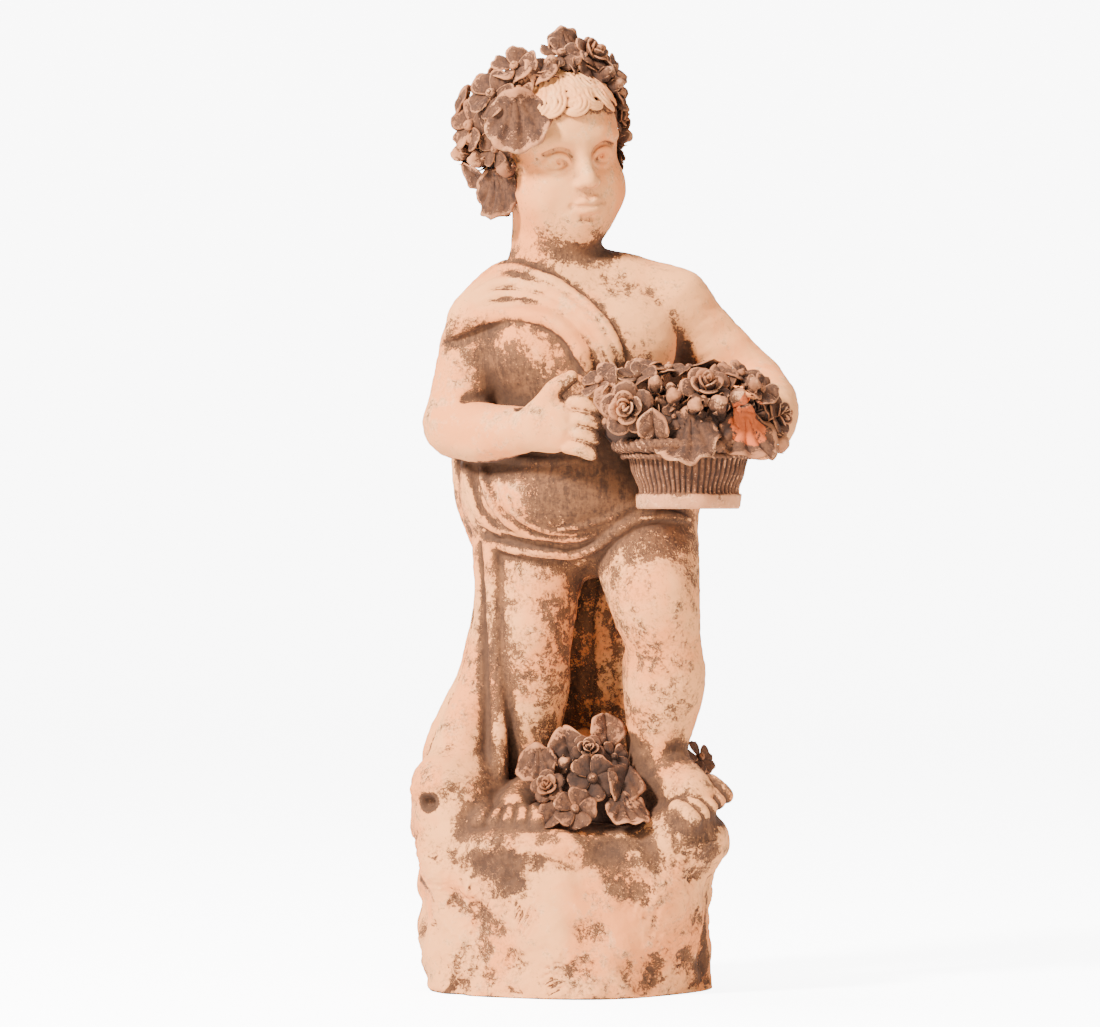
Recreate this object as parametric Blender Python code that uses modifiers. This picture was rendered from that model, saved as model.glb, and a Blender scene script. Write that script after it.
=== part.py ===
"""Terracotta statue of a small boy with a flower wreath, who stands on a rough mound and holds a basket of flowers.

The statue is one piece of fired clay. It is built the way a modeller builds it: lumps of clay (balls, limbs
and turned drums) are pressed together, and a remesh makes them one skin. Sizes are in metres, +Z is up,
the boy faces -Y, and the origin is the middle of the mound's underside.
"""

import math

import bmesh
import bpy
import numpy as np
from mathutils import Euler, Matrix, Vector

# The mound that he stands on
MOUND_HEIGHT = 0.130
MOUND_FOOT_RADIUS = 0.107
MOUND_TOP_RADIUS = 0.114
MOUND_RELIEF = 0.0040
MOUND_SINK = 0.012
MOUND_EDGE = 0.9

# The boy, from the soles of his feet to the crown of his head
FIGURE_HEIGHT = 0.600

# The basket
BASKET_HEIGHT = 0.053
BASKET_FOOT_RADIUS = 0.038
BASKET_NECK_RADIUS = 0.044
BASKET_RIM_RADIUS = 0.058
BASKET_RIM_DEPTH = 0.009
BASKET_BAND_HEIGHT = 0.011
BASKET_BAND_PROUD = 0.002

# How fine the fused skin is
FLESH_VOXEL = 0.0030
SKIN_VOXEL = 0.0025
FLESH_SMOOTHING = 6
SKIN_SMOOTHING = 2
TRIANGLES = 9200

TERRACOTTA = (0.62, 0.44, 0.33, 1.0)

# Frames. The figure's own units are hundredths of its height, from the ground between his feet.
FIGURE = Matrix.Translation((0, 0, MOUND_HEIGHT)) @ Matrix.Scale(FIGURE_HEIGHT / 100, 4)
HEAD_SPOT = (-1.9, 0.2, 87.0)
HEAD_TURN = (6, -9, 25)
HEAD_SCALE = 1.1
HEAD = (
    FIGURE
    @ Matrix.Translation(HEAD_SPOT)
    @ Euler([math.radians(a) for a in HEAD_TURN]).to_matrix().to_4x4()
    @ Matrix.Scale(HEAD_SCALE, 4)
)
BASKET_SPOT = (15.0, -15.5, 40.6)
BASKET = Matrix.Translation(FIGURE @ Vector(BASKET_SPOT))
BASKET_TOP = BASKET @ Matrix.Translation((0, 0, BASKET_HEIGHT)) @ Matrix.Scale(BASKET_RIM_RADIUS / 10, 4)
MOUND_TOP = Matrix.Translation((0, 0, MOUND_HEIGHT)) @ Matrix.Scale(MOUND_TOP_RADIUS / 10, 4)

# Balls of the trunk and head: centre, radii, and turn in degrees where they are turned
TORSO = [
    ((2.9, 1.0, 39.6), (12.0, 9.0, 8.0)),
    ((1.4, -1.6, 46.0), (11.4, 9.6, 9.0)),
    ((1.6, -0.3, 54.5), (11.4, 8.8, 9.5)),
    ((1.6, 0.2, 62.0), (12.2, 8.2, 9.0)),
    ((-4.6, -4.2, 61.0), (6.0, 3.6, 5.4)),
    ((7.4, -4.0, 62.4), (6.0, 3.6, 5.4)),
    ((-2.6, 5.6, 38.6), (6.6, 5.6, 7.0)),
    ((8.0, 5.6, 38.6), (6.6, 5.6, 7.0)),
]
SKULL = [
    ((0, 1.6, 2.6), (7.4, 8.4, 7.5)),
    ((0, -1.4, -2.6), (6.4, 6.2, 7.6)),
    ((0, -2.6, 2.6), (6.4, 5.6, 5.4)),
    ((3.3, -3.8, -5.0), (3.1, 3.0, 3.2)),
    ((-3.3, -3.8, -5.0), (3.1, 3.0, 3.2)),
    ((0, -5.2, -8.8), (2.4, 2.2, 2.0)),
    ((0, -1.6, -7.6), (5.0, 5.0, 3.2)),
    ((0, -7.0, -5.9), (1.9, 1.2, 1.3)),
    ((7.2, 1.0, -2.4), (1.0, 1.9, 2.6)),
    ((-7.2, 1.0, -2.4), (1.0, 1.9, 2.6)),
]
NOSE = [(0, -6.9, 0.2, 0.8), (0, -8.0, -2.0, 0.9), (0, -8.3, -3.2, 1.15)]

# Limbs: stations of x, y, z and radius along the middle of each
SHOULDERS = [
    (-10.8, 0.3, 64.4, 4.8),
    (-7.6, 0.6, 67.4, 4.4),
    (-2.0, 0.8, 69.4, 4.6),
    (5.0, 0.8, 69.6, 4.6),
    (10.0, 0.8, 68.4, 4.6),
    (13.4, 0.8, 67.0, 4.8),
]
NECK = [(-1.6, 1.4, 69.0, 6.0), (-2.1, 1.0, 74.5, 5.6), (-1.8, 0.8, 80.0, 5.4)]
RIGHT_ARM = [(-11.2, 0.2, 64.0, 4.8), (-12.9, -0.6, 58.5, 4.6), (-14.5, -2.2, 52.2, 4.2)]
RIGHT_FOREARM = [
    (-14.5, -2.4, 51.4, 4.1),
    (-11.0, -7.2, 50.4, 3.9),
    (-6.8, -11.9, 50.6, 3.1),
    (-4.4, -14.2, 50.9, 2.6),
]
LEFT_ARM = [(13.4, 0.8, 67.0, 4.8), (18.0, 1.2, 62.6, 4.2), (23.4, 0.6, 57.0, 4.1)]
LEFT_FOREARM = [
    (23.8, 0.2, 56.6, 4.1),
    (25.5, -5.5, 54.0, 3.9),
    (25.6, -11.0, 51.6, 3.3),
    (24.6, -14.6, 50.0, 2.8),
]
RIGHT_LEG = [
    (-3.2, 0.8, 39.0, 6.8),
    (-4.4, 0.2, 32.0, 6.1),
    (-4.8, -0.8, 23.5, 5.2),
    (-5.1, 0.4, 17.0, 4.8),
    (-5.4, 0.9, 9.5, 3.7),
    (-5.5, 1.2, 4.0, 3.4),
]
LEFT_LEG = [
    (9.6, -1.0, 39.0, 7.0),
    (10.1, -5.0, 33.6, 6.6),
    (11.0, -7.8, 28.2, 5.9),
    (12.0, -7.3, 23.2, 5.0),
    (12.2, -6.2, 18.2, 5.2),
    (11.4, -5.2, 11.7, 4.3),
    (11.0, -5.0, 7.0, 3.8),
]
RIGHT_FOOT = [(-5.5, 2.0, 2.6, 2.9), (-6.0, -3.0, 2.8, 2.9), (-7.0, -8.2, 1.5, 2.4)]
LEFT_FOOT = [(10.4, -3.2, 3.6, 3.2), (13.2, -7.0, 4.2, 3.2), (16.2, -10.6, 2.6, 2.6)]

# Fingers and toes: the first one's root and tip, the last one's root and tip, and their radius
RIGHT_HAND_BALL = ((-1.7, -15.6, 51.0), (3.3, 1.8, 3.2), (0, 0, -22))
RIGHT_FINGERS = ((0.6, -16.6, 53.4), (3.9, -16.0, 53.8), (-0.2, -16.4, 48.7), (2.9, -16.8, 47.9), 0.95)
RIGHT_THUMB = [(-3.0, -14.8, 53.2, 1.5), (-1.6, -15.6, 55.8, 1.2), (0.2, -15.4, 57.4, 1.0)]
LEFT_HAND_BALL = ((23.9, -17.0, 49.2), (1.8, 3.3, 2.8), (0, -18, 12))
LEFT_FINGERS = ((23.4, -19.6, 50.6), (20.6, -23.2, 50.2), (22.8, -19.0, 46.6), (20.2, -21.8, 45.6), 0.9)
RIGHT_TOES = ((-8.7, -9.4, 1.5), (-9.4, -11.6, 1.0), (-5.1, -9.8, 1.7), (-5.3, -12.4, 1.2), 0.95)
LEFT_TOES = ((18.3, -10.6, 2.4), (20.1, -12.0, 2.0), (15.4, -13.0, 2.5), (17.0, -15.0, 1.9), 1.0)

# Cloth. The band over the right shoulder runs between two edges, of x and z on his chest.
BAND_UPPER = [(-15.6, 65.0), (-12.6, 68.7), (-8.4, 71.6), (-3.4, 70.4), (1.0, 67.6), (4.6, 63.9), (6.8, 59.6)]
BAND_LOWER = [(-16.4, 62.4), (-13.8, 64.2), (-10.0, 65.4), (-5.6, 65.6), (-1.6, 64.2), (0.9, 61.6), (2.8, 57.6)]
BAND_RIDGES = 4
BAND_RIDGE_RADIUS = 1.1
HEM = [
    (-11.4, 4.0, 37.0, 1.0),
    (-10.2, -2.8, 36.3, 1.0),
    (-7.0, -6.4, 35.7, 0.9),
    (-2.3, -7.6, 35.2, 0.9),
    (1.0, -7.6, 35.2, 0.9),
    (4.2, -8.8, 36.7, 0.9),
    (7.6, -9.8, 38.9, 0.9),
    (12.0, -8.4, 40.0, 1.0),
    (15.2, -3.6, 39.4, 1.0),
    (15.0, 2.6, 38.4, 1.0),
]
BLOUSE = [
    ((0.0, -1.9, 42.6), (12.2, 10.2, 7.2)),
    ((7.0, -1.6, 43.0), (10.4, 9.0, 6.4)),
    ((-8.8, 1.4, 44.0), (5.6, 6.4, 8.6)),
    ((1.6, 0.4, 38.8), (13.2, 9.4, 5.0)),
]
SLEEVE = [(-13.4, 2.6, 65.0, 2.6), (-15.0, 3.6, 60.6, 2.2), (-13.6, 5.2, 54.0, 2.8)]
LEG_FOLD = [
    (-9.9, -2.6, 35.8, 1.5),
    (-9.7, -3.0, 27.0, 1.25),
    (-9.4, -2.8, 18.0, 1.25),
    (-9.3, -3.6, 9.0, 1.4),
    (-9.6, -5.0, 1.0, 1.8),
]
SIDE_FOLD = [
    (-11.0, 0.6, 36.4, 1.8),
    (-10.8, 0.2, 27.0, 1.7),
    (-12.0, -0.4, 18.0, 2.4),
    (-14.0, -1.6, 10.4, 3.6),
    (-14.6, -2.6, 3.0, 5.0),
]

# The cloak behind him: the first and last of its hanging folds, which the others are spread between
CLOAK_LEFT = [
    (-12.6, 3.6, 67.4, 2.0),
    (-12.8, 5.4, 55.0, 2.6),
    (-12.4, 4.2, 43.0, 2.8),
    (-10.2, 3.4, 35.0, 2.4),
    (-10.4, 3.4, 27.0, 2.4),
    (-12.2, 3.0, 18.0, 2.8),
    (-15.6, 2.0, 10.0, 3.2),
    (-16.2, 0.8, 0.0, 4.2),
]
CLOAK_RIGHT = [
    (1.4, 5.0, 71.0, 1.8),
    (6.4, 6.6, 58.0, 2.4),
    (12.0, 5.8, 44.0, 2.8),
    (10.0, 5.4, 35.0, 2.6),
    (8.6, 5.4, 27.0, 2.6),
    (8.8, 6.4, 18.0, 2.8),
    (10.0, 7.6, 10.0, 3.2),
    (11.4, 8.4, 0.0, 3.8),
]
CLOAK_FOLDS = 7
CLOAK_EDGE = [
    (-13.6, 2.4, 67.0, 1.6),
    (-8.4, 4.6, 71.6, 1.6),
    (-1.0, 7.2, 71.0, 1.5),
    (5.0, 9.0, 62.4, 1.5),
    (9.6, 9.0, 52.4, 1.5),
    (13.4, 6.6, 42.0, 1.6),
]
CLOAK_BULGE = 2.8
CLOAK_WAVE = 0.8

# The stump and stones at the mound's edge, in tenths of its top radius from the middle of its top
STONES = [
    ((-7.7, -1.6, 0.5), (3.1, 4.0, 4.2)),
    ((-8.9, -2.9, 2.8), (1.8, 2.2, 1.8)),
    ((-7.9, -2.3, -2.6), (2.5, 3.5, 3.7)),
    ((0.5, 2.4, 3.5), (2.6, 2.3, 2.9)),
    ((7.1, -3.2, -0.7), (3.6, 4.5, 1.9)),
    ((-1.1, -5.1, -1.2), (5.8, 4.2, 1.5)),
    ((1.1, 3.2, -1.3), (7.4, 6.3, 1.9)),
]

# Hair: rings of hooked locks about the head, of height, ring radius across and deep, how many, and lock size
LOCK_RINGS = [(7.2, 4.6, 5.4, 7, 2.2), (3.6, 6.8, 8.1, 10, 2.3), (-0.8, 7.2, 8.6, 11, 2.3), (-5.0, 6.2, 7.4, 9, 2.1)]
LOCK_CENTRE_Y = 1.6
HAIRLINE = 48
LOCK_HOOK = [(2.4, 1.0, 0.5), (0.9, 0.9, 0.6), (-0.7, 0.8, 0.56), (-2.2, 0.5, 0.4)]

# Flowers: kind, place, size and the way they face. The basket's are in tenths of its rim's radius, from the
# middle of its rim; the ground's are in the figure's units and the wreath's in the head's.
BASKET_FLOWERS = [
    ("rose", (-8.4, -7.3, 3.9), 3.6, (-0.25, -1.0, 0.1)),
    ("blossom", (-11.8, -3.2, 7.6), 2.9, (-0.6, -0.6, 0.6)),
    ("blossom", (-6.6, -3.6, 8.2), 2.7, (-0.1, -0.5, 0.9)),
    ("blossom", (2.3, -5.9, 6.8), 3.6, (0.1, -0.8, 0.7)),
    ("bud", (-2.1, -8.2, 5.3), 1.8, (-0.1, -0.9, 0.3)),
    ("bud", (0.6, -9.2, 4.1), 1.7, (0.1, -0.9, 0.3)),
    ("bud", (3.7, -9.2, 4.3), 1.9, (0.1, -0.9, 0.3)),
    ("bud", (6.2, -8.4, 5.1), 1.9, (0.2, -0.9, 0.3)),
    ("leaf", (-0.4, -9.4, 0.2), 4.3, (-0.25, -0.9, 0.5)),
    ("leaf", (7.9, -7.6, 0.4), 4.1, (0.35, -0.8, 0.5)),
    ("rose", (12.0, -2.4, 3.1), 2.7, (0.9, -0.5, 0.2)),
    ("bud", (11.4, -3.2, -0.4), 2.1, (0.8, -0.6, -0.3)),
    ("blossom", (6.8, -1.6, 8.4), 3.1, (0.4, -0.4, 0.9)),
    ("blossom", (9.7, 0.9, 7.4), 2.7, (0.6, 0.0, 0.8)),
    ("blossom", (-2.7, -0.5, 9.3), 3.0, (0.0, -0.2, 1.0)),
    ("leaf", (-5.8, 1.1, 9.7), 2.9, (-0.3, -0.3, 0.9)),
    ("leaf", (1.9, 1.6, 9.5), 2.9, (0.1, 0.2, 1.0)),
    ("blossom", (4.8, 4.2, 7.8), 2.7, (0.2, 0.6, 0.8)),
    ("leaf", (-4.6, -8.2, 1.8), 2.7, (-0.3, -0.9, -0.2)),
]
GROUND_FLOWERS = [
    ("leaf", (-4.4, -10.2, 7.8), 2.8, (-0.3, -0.9, 0.5)),
    ("rose", (2.3, -9.0, 9.8), 2.1, (0.0, -0.9, 0.5)),
    ("rose", (-2.9, -12.4, 4.8), 2.2, (-0.3, -0.9, 0.5)),
    ("blossom", (2.6, -12.0, 6.4), 3.1, (0.1, -0.9, 0.6)),
    ("blossom", (0.4, -14.4, 2.6), 2.8, (0.0, -0.9, 0.7)),
    ("leaf", (6.8, -12.2, 5.6), 3.2, (0.4, -0.8, 0.4)),
    ("leaf", (7.0, -14.4, 2.6), 3.0, (0.3, -0.7, 0.7)),
    ("leaf", (-0.6, -9.0, 10.4), 2.6, (-0.2, -0.8, 0.5)),
    ("leaf", (4.4, -6.8, 11.4), 2.8, (0.2, -0.8, 0.5)),
    ("blossom", (16.6, -2.4, 8.6), 2.6, (0.6, -0.5, 0.6)),
    ("leaf", (17.8, -4.8, 5.6), 2.4, (0.8, -0.5, 0.4)),
]
WREATH_FLOWERS = [
    ("leaf", (-6.6, -5.4, 3.4), 4.3, (-0.6, -0.8, 0.1)),
    ("blossom", (-7.6, -2.2, 7.2), 3.2, (-0.7, -0.4, 0.5)),
    ("blossom", (-4.6, -2.4, 10.6), 3.0, (-0.4, -0.5, 0.8)),
    ("leaf", (-2.0, -4.2, 10.2), 2.6, (-0.2, -0.7, 0.7)),
    ("blossom", (-10.0, 2.0, 4.4), 3.3, (-1.0, -0.2, 0.3)),
    ("leaf", (-9.4, 5.2, 7.0), 2.8, (-0.8, 0.3, 0.6)),
    ("bud", (-10.6, 4.6, 0.6), 1.7, (-1.0, 0.1, 0.0)),
    ("bud", (-10.0, 1.2, -0.4), 1.6, (-1.0, -0.2, 0.0)),
    ("leaf", (-10.4, 4.0, -2.2), 2.4, (-0.9, 0.2, -0.4)),
    ("leaf", (-8.2, 0.4, -4.4), 3.0, (-0.9, -0.4, 0.1)),
    ("bud", (-7.6, -3.2, -1.6), 1.7, (-0.8, -0.6, 0.0)),
    ("leaf", (2.4, -1.6, 12.6), 3.3, (0.1, -0.5, 0.9)),
    ("blossom", (5.8, -1.0, 11.6), 3.0, (0.4, -0.4, 0.9)),
    ("bud", (8.0, -1.4, 9.4), 1.6, (0.7, -0.4, 0.7)),
    ("bud", (5.9, -3.6, 8.4), 1.4, (0.5, -0.7, 0.6)),
    ("blossom", (8.6, -1.2, 6.6), 2.6, (0.9, -0.3, 0.4)),
    ("leaf", (9.2, -1.4, 3.0), 3.0, (0.9, -0.4, 0.1)),
    ("leaf", (8.8, -0.4, -1.0), 2.6, (1.0, -0.2, 0.0)),
    ("blossom", (7.0, 5.0, 6.6), 3.0, (0.8, 0.4, 0.5)),
    ("leaf", (2.4, 7.8, 8.4), 3.2, (0.2, 0.7, 0.7)),
    ("blossom", (-3.4, 7.8, 8.4), 3.2, (-0.3, 0.7, 0.7)),
    ("blossom", (6.4, 8.2, 2.4), 3.0, (0.7, 0.8, 0.1)),
    ("leaf", (0.6, 10.4, 3.4), 3.2, (0.0, 1.0, 0.2)),
    ("blossom", (-5.4, 9.0, 2.4), 3.0, (-0.6, 0.8, 0.1)),
]
HEAP = ((0.0, 0.0, 1.2), (12.0, 9.1, 6.8))
POSY = ((2.4, -8.6, 4.4), (6.6, 5.4, 5.8))
SIDE_POSY = ((16.0, -1.4, 3.6), (3.2, 3.6, 4.4))
BAND_OF_STEMS = [
    (-6.8, -3.0, 5.4, 2.3),
    (-8.2, 2.4, 3.8, 2.8),
    (-5.8, 7.8, 3.6, 2.6),
    (0.4, 9.6, 4.4, 2.4),
    (6.0, 7.4, 4.6, 2.2),
    (7.6, 1.4, 4.6, 1.9),
    (6.4, -2.2, 7.0, 1.7),
    (1.8, -2.6, 9.4, 1.6),
    (-3.6, -3.2, 8.8, 1.7),
]

STEPS = 6


def smooth_run(stations):
    """Points of a Catmull-Rom curve through the stations, with every value (place and radius) run alike."""
    held = np.array([stations[0], *stations, stations[-1]], float)
    t = np.linspace(0, 1, STEPS, endpoint=False)[:, None]
    spans = []
    for a, b, c, d in zip(held, held[1:], held[2:], held[3:]):
        spans.append(
            0.5 * (2 * b + (c - a) * t + (2 * a - 5 * b + 4 * c - d) * t**2 + (3 * b - a - 3 * c + d) * t**3)
        )
    return np.vstack([*spans, held[-1:]])


def mesh_of(data):
    """The mesh that Blender evaluates from a curve or from a mesh with modifiers, which are then removed."""
    obj = data if isinstance(data, bpy.types.Object) else bpy.data.objects.new("lump", data)
    if obj.name not in bpy.context.scene.collection.objects:
        bpy.context.scene.collection.objects.link(obj)
    graph = bpy.context.evaluated_depsgraph_get()
    mesh = bpy.data.meshes.new_from_object(obj.evaluated_get(graph))
    bpy.data.objects.remove(obj)
    return mesh


def unit_ball():
    """A ball of radius 1, which every pressed ball is a stretched copy of."""
    mesh = bpy.data.meshes.new("ball")
    ball = bmesh.new()
    bmesh.ops.create_uvsphere(ball, u_segments=20, v_segments=12, radius=1)
    ball.to_mesh(mesh)
    ball.free()
    return mesh


UNIT_BALL = unit_ball()


def press_ball(heap, frame, centre, radii, turn=(0, 0, 0)):
    """Presses an egg of clay into the heap, with its radii along its own turned axes."""
    turned = Euler([math.radians(a) for a in turn]).to_matrix().to_4x4()
    mesh = UNIT_BALL.copy()
    mesh.transform(frame @ Matrix.Translation(centre) @ turned @ Matrix.Diagonal((*radii, 1)))
    heap.append(mesh)


def press_limb(heap, frame, stations):
    """Presses a tapering limb into the heap: a round curve that is as thick as each station says, with round ends."""
    run = smooth_run(stations)
    curve = bpy.data.curves.new("limb", "CURVE")
    curve.dimensions = "3D"
    curve.bevel_depth = 1.0
    curve.bevel_resolution = 3
    curve.use_fill_caps = True
    spline = curve.splines.new("POLY")
    spline.points.add(len(run) - 1)
    for point, (x, y, z, radius) in zip(spline.points, run):
        point.co = (x, y, z, 1)
        point.radius = radius
    mesh = mesh_of(curve)
    mesh.transform(frame)
    heap.append(mesh)
    for x, y, z, radius in (run[0], run[-1]):
        press_ball(heap, frame, (x, y, z), (radius,) * 3)


def press_digits(heap, frame, first_root, first_tip, last_root, last_tip, radius, count):
    """Presses fingers or toes into the heap, spread evenly from the first to the last."""
    for share in np.linspace(0, 1, count):
        root = Vector(first_root).lerp(Vector(last_root), share)
        tip = Vector(first_tip).lerp(Vector(last_tip), share)
        press_limb(heap, frame, [(*root, radius), (*root.lerp(tip, 0.5), radius), (*tip, radius * 0.85)])


def facing_frame(frame, place, size, facing):
    """A frame at the place, scaled by the size, whose +Z looks the way that is faced and whose +Y hangs down."""
    look = Vector(facing).normalized()
    down = Vector((0, 0, -1)) - look * -look.z
    down = (down if down.length > 0.2 else Vector((0, -1, 0)) - look * -look.y).normalized()
    turned = Matrix((down.cross(look), down, look)).transposed().to_4x4()
    return frame @ Matrix.Translation(place) @ turned @ Matrix.Scale(size, 4)


def press_petals(heap, flower, count, reach, radii, lift):
    """Presses a ring of petals round a flower's middle, each a thin egg that leans outwards."""
    for k in range(count):
        angle = 2 * math.pi * k / count
        place = (reach * math.cos(angle), reach * math.sin(angle), lift)
        press_ball(heap, flower, place, radii, (0, -20, math.degrees(angle)))


def press_flower(heap, frame, kind, place, size, facing):
    """Presses one rose, blossom, bud or leaf into the heap."""
    flower = facing_frame(frame, place, size, facing)
    if kind == "rose":
        press_ball(heap, flower, (0, 0, -0.2), (0.75, 0.75, 0.6))
        press_petals(heap, flower, 5, 0.55, (0.42, 0.5, 0.26), 0.0)
        press_ball(heap, flower, (0, 0, 0.3), (0.4, 0.4, 0.32))
    elif kind == "blossom":
        press_ball(heap, flower, (0, 0, -0.35), (0.6, 0.6, 0.5))
        press_petals(heap, flower, 5, 0.58, (0.42, 0.42, 0.24), 0.05)
        press_ball(heap, flower, (0, 0, 0.25), (0.26, 0.26, 0.26))
    elif kind == "bud":
        press_ball(heap, flower, (0, 0, 0), (0.85, 0.85, 1.0))
    else:
        press_ball(heap, flower, (0, 0, -0.1), (0.68, 0.9, 0.26))
        press_ball(heap, flower, (0, 0.5, -0.1), (0.42, 0.6, 0.24))


def chest_front(x, z):
    """How far forward the chest and shoulder stand at a place seen from the front, in the figure's units."""
    (cx, cy, cz), (rx, ry, rz) = TORSO[3]
    inside = max(0.06, 1 - ((x - cx) / (rx + 5)) ** 2 - ((z - cz) / (rz + 5)) ** 2)
    return cy - (ry + 0.6) * math.sqrt(inside)


def press_flesh(heap):
    """Presses the boy's bare body: trunk, neck, arms, legs, hands and feet."""
    for centre, radii in TORSO:
        press_ball(heap, FIGURE, centre, radii)
    for limb in (SHOULDERS, NECK, RIGHT_ARM, RIGHT_FOREARM, LEFT_ARM, LEFT_FOREARM):
        press_limb(heap, FIGURE, limb)
    for limb in (RIGHT_LEG, LEFT_LEG, RIGHT_FOOT, LEFT_FOOT):
        press_limb(heap, FIGURE, limb)
    press_ball(heap, FIGURE, *RIGHT_HAND_BALL)
    press_ball(heap, FIGURE, *LEFT_HAND_BALL)


def press_head(heap):
    """Presses the skull, the soft full face of a small child, and the ears."""
    for centre, radii in SKULL:
        press_ball(heap, HEAD, centre, radii)
    press_limb(heap, HEAD, NOSE)
    for side in (-1, 1):
        press_ball(heap, HEAD, (side * 2.7, -5.9, -0.5), (1.5, 1.1, 1.0))
        press_limb(
            heap, HEAD, [(side * 1.2, -7.0, 1.0, 0.6), (side * 3.0, -6.8, 1.5, 0.7), (side * 4.8, -5.4, 0.8, 0.6)]
        )


def press_digits_all(heap):
    """Presses the fingers, thumb and toes."""
    press_digits(heap, FIGURE, *RIGHT_FINGERS, 4)
    press_digits(heap, FIGURE, *LEFT_FINGERS, 4)
    press_digits(heap, FIGURE, *RIGHT_TOES, 5)
    press_digits(heap, FIGURE, *LEFT_TOES, 5)
    press_limb(heap, FIGURE, RIGHT_THUMB)


def press_hair(heap):
    """Presses rings of short hooked locks about the head, which leave the face free below the hairline."""
    for row, (height, across, deep, count, size) in enumerate(LOCK_RINGS):
        for k in range(count):
            angle = 2 * math.pi * (k + 0.5 * (row % 2)) / count
            from_face = abs(math.degrees(angle) - 180)
            if height < 6 and from_face < HAIRLINE + 8 * (1 - height / 6):
                continue
            hook = []
            for turn, reach, thickness in LOCK_HOOK:
                aside = size * reach * math.cos(turn) * (1 if (k + row) % 3 else -1)
                x = across * math.sin(angle) + math.cos(angle) * aside
                y = LOCK_CENTRE_Y + deep * math.cos(angle) - math.sin(angle) * aside
                hook.append((x, y, height + size * reach * math.sin(turn), size * thickness))
            press_limb(heap, HEAD, hook)


def press_cloth(heap):
    """Presses the band over the shoulder, the tunic that blouses over his hips, its hem, and the cloak behind."""
    for centre, radii in BLOUSE:
        press_ball(heap, FIGURE, centre, radii)
    for limb in (HEM, SLEEVE, LEG_FOLD, SIDE_FOLD, CLOAK_EDGE):
        press_limb(heap, FIGURE, limb)
    for share in np.linspace(0, 1, BAND_RIDGES):
        places = np.array(BAND_UPPER) * (1 - share) + np.array(BAND_LOWER) * share
        press_limb(heap, FIGURE, [(x, chest_front(x, z), z, BAND_RIDGE_RADIUS) for x, z in places])
    for share in np.linspace(0, 1, CLOAK_FOLDS):
        fold = np.array(CLOAK_LEFT) * (1 - share) + np.array(CLOAK_RIGHT) * share
        fold[:, 1] += CLOAK_BULGE * math.sin(math.pi * share) + CLOAK_WAVE * math.cos(9 * share + 1)
        press_limb(heap, FIGURE, fold)


def mound_radius(angle, level):
    """The mound's radius at an angle and at a level from 0 at its foot to 1 at its top, with its rough relief."""
    flare = MOUND_FOOT_RADIUS + (MOUND_TOP_RADIUS - MOUND_FOOT_RADIUS) * level**1.5
    relief = (
        0.9 * math.sin(2 * angle + 1.1 + 2.0 * level)
        + 0.7 * math.sin(3 * angle - 0.6 - 3.4 * level)
        + 0.6 * math.sin(5 * angle + 2.0 + 5.2 * level)
    )
    return flare + MOUND_RELIEF * relief


def turned(profile, steps):
    """The mesh of a profile of radius and height turned about Z, closed at both ends on the axis."""
    mesh = bpy.data.meshes.new("profile")
    mesh.from_pydata([(r, 0, z) for r, z in profile], [(k, k + 1) for k in range(len(profile) - 1)], [])
    obj = bpy.data.objects.new("profile", mesh)
    screw = obj.modifiers.new("turn", "SCREW")
    screw.steps = screw.render_steps = steps
    screw.use_merge_vertices = True
    screw.merge_threshold = 0.0001
    return mesh_of(obj)


def press_mound(heap):
    """Presses the mound: a turned drum whose side is then pushed in and out, and the stones on it."""
    levels = np.linspace(1, 0, 9)
    profile = [(0, MOUND_HEIGHT), (MOUND_FOOT_RADIUS * 0.7, MOUND_HEIGHT * 0.99)]
    profile += [(MOUND_FOOT_RADIUS, MOUND_HEIGHT * MOUND_EDGE * level) for level in levels]
    profile += [(MOUND_FOOT_RADIUS, -MOUND_SINK), (0, -MOUND_SINK)]
    mesh = turned(profile, 48)
    for vertex in mesh.vertices:
        x, y, z = vertex.co
        reach = math.hypot(x, y)
        if reach > MOUND_FOOT_RADIUS * 0.9:
            grown = mound_radius(math.atan2(y, x), min(1.0, max(0.0, z / MOUND_HEIGHT))) / reach
            vertex.co = (x * grown, y * grown, z)
    heap.append(mesh)
    for centre, radii in STONES:
        press_ball(heap, MOUND_TOP, centre, radii)


def press_basket(heap):
    """Presses the basket: a turned body that flares to a corded rim, and the heap of stems in it."""
    neck = BASKET_HEIGHT - 2 * BASKET_RIM_DEPTH
    band = BASKET_FOOT_RADIUS + BASKET_BAND_PROUD
    profile = [
        (0, BASKET_HEIGHT),
        (BASKET_RIM_RADIUS, BASKET_HEIGHT),
        (BASKET_RIM_RADIUS, BASKET_HEIGHT - BASKET_RIM_DEPTH * 0.6),
        ((BASKET_RIM_RADIUS + BASKET_NECK_RADIUS) / 2, neck + BASKET_RIM_DEPTH * 0.7),
        (BASKET_NECK_RADIUS, neck),
        (BASKET_FOOT_RADIUS, BASKET_BAND_HEIGHT),
        (band, BASKET_BAND_HEIGHT),
        (band, 0),
        (0, 0),
    ]
    mesh = turned(profile, 40)
    mesh.transform(BASKET)
    heap.append(mesh)
    press_ball(heap, BASKET_TOP, *HEAP)


def press_flowers(heap):
    """Presses every flower and leaf: on the basket, on the ground, and in the wreath about his head."""
    press_ball(heap, FIGURE, *POSY)
    press_ball(heap, FIGURE, *SIDE_POSY)
    press_limb(heap, HEAD, [*BAND_OF_STEMS, BAND_OF_STEMS[0]])
    for flowers, frame in ((BASKET_FLOWERS, BASKET_TOP), (GROUND_FLOWERS, FIGURE), (WREATH_FLOWERS, HEAD)):
        for kind, place, size, facing in flowers:
            press_flower(heap, frame, kind, place, size, facing)


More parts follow.
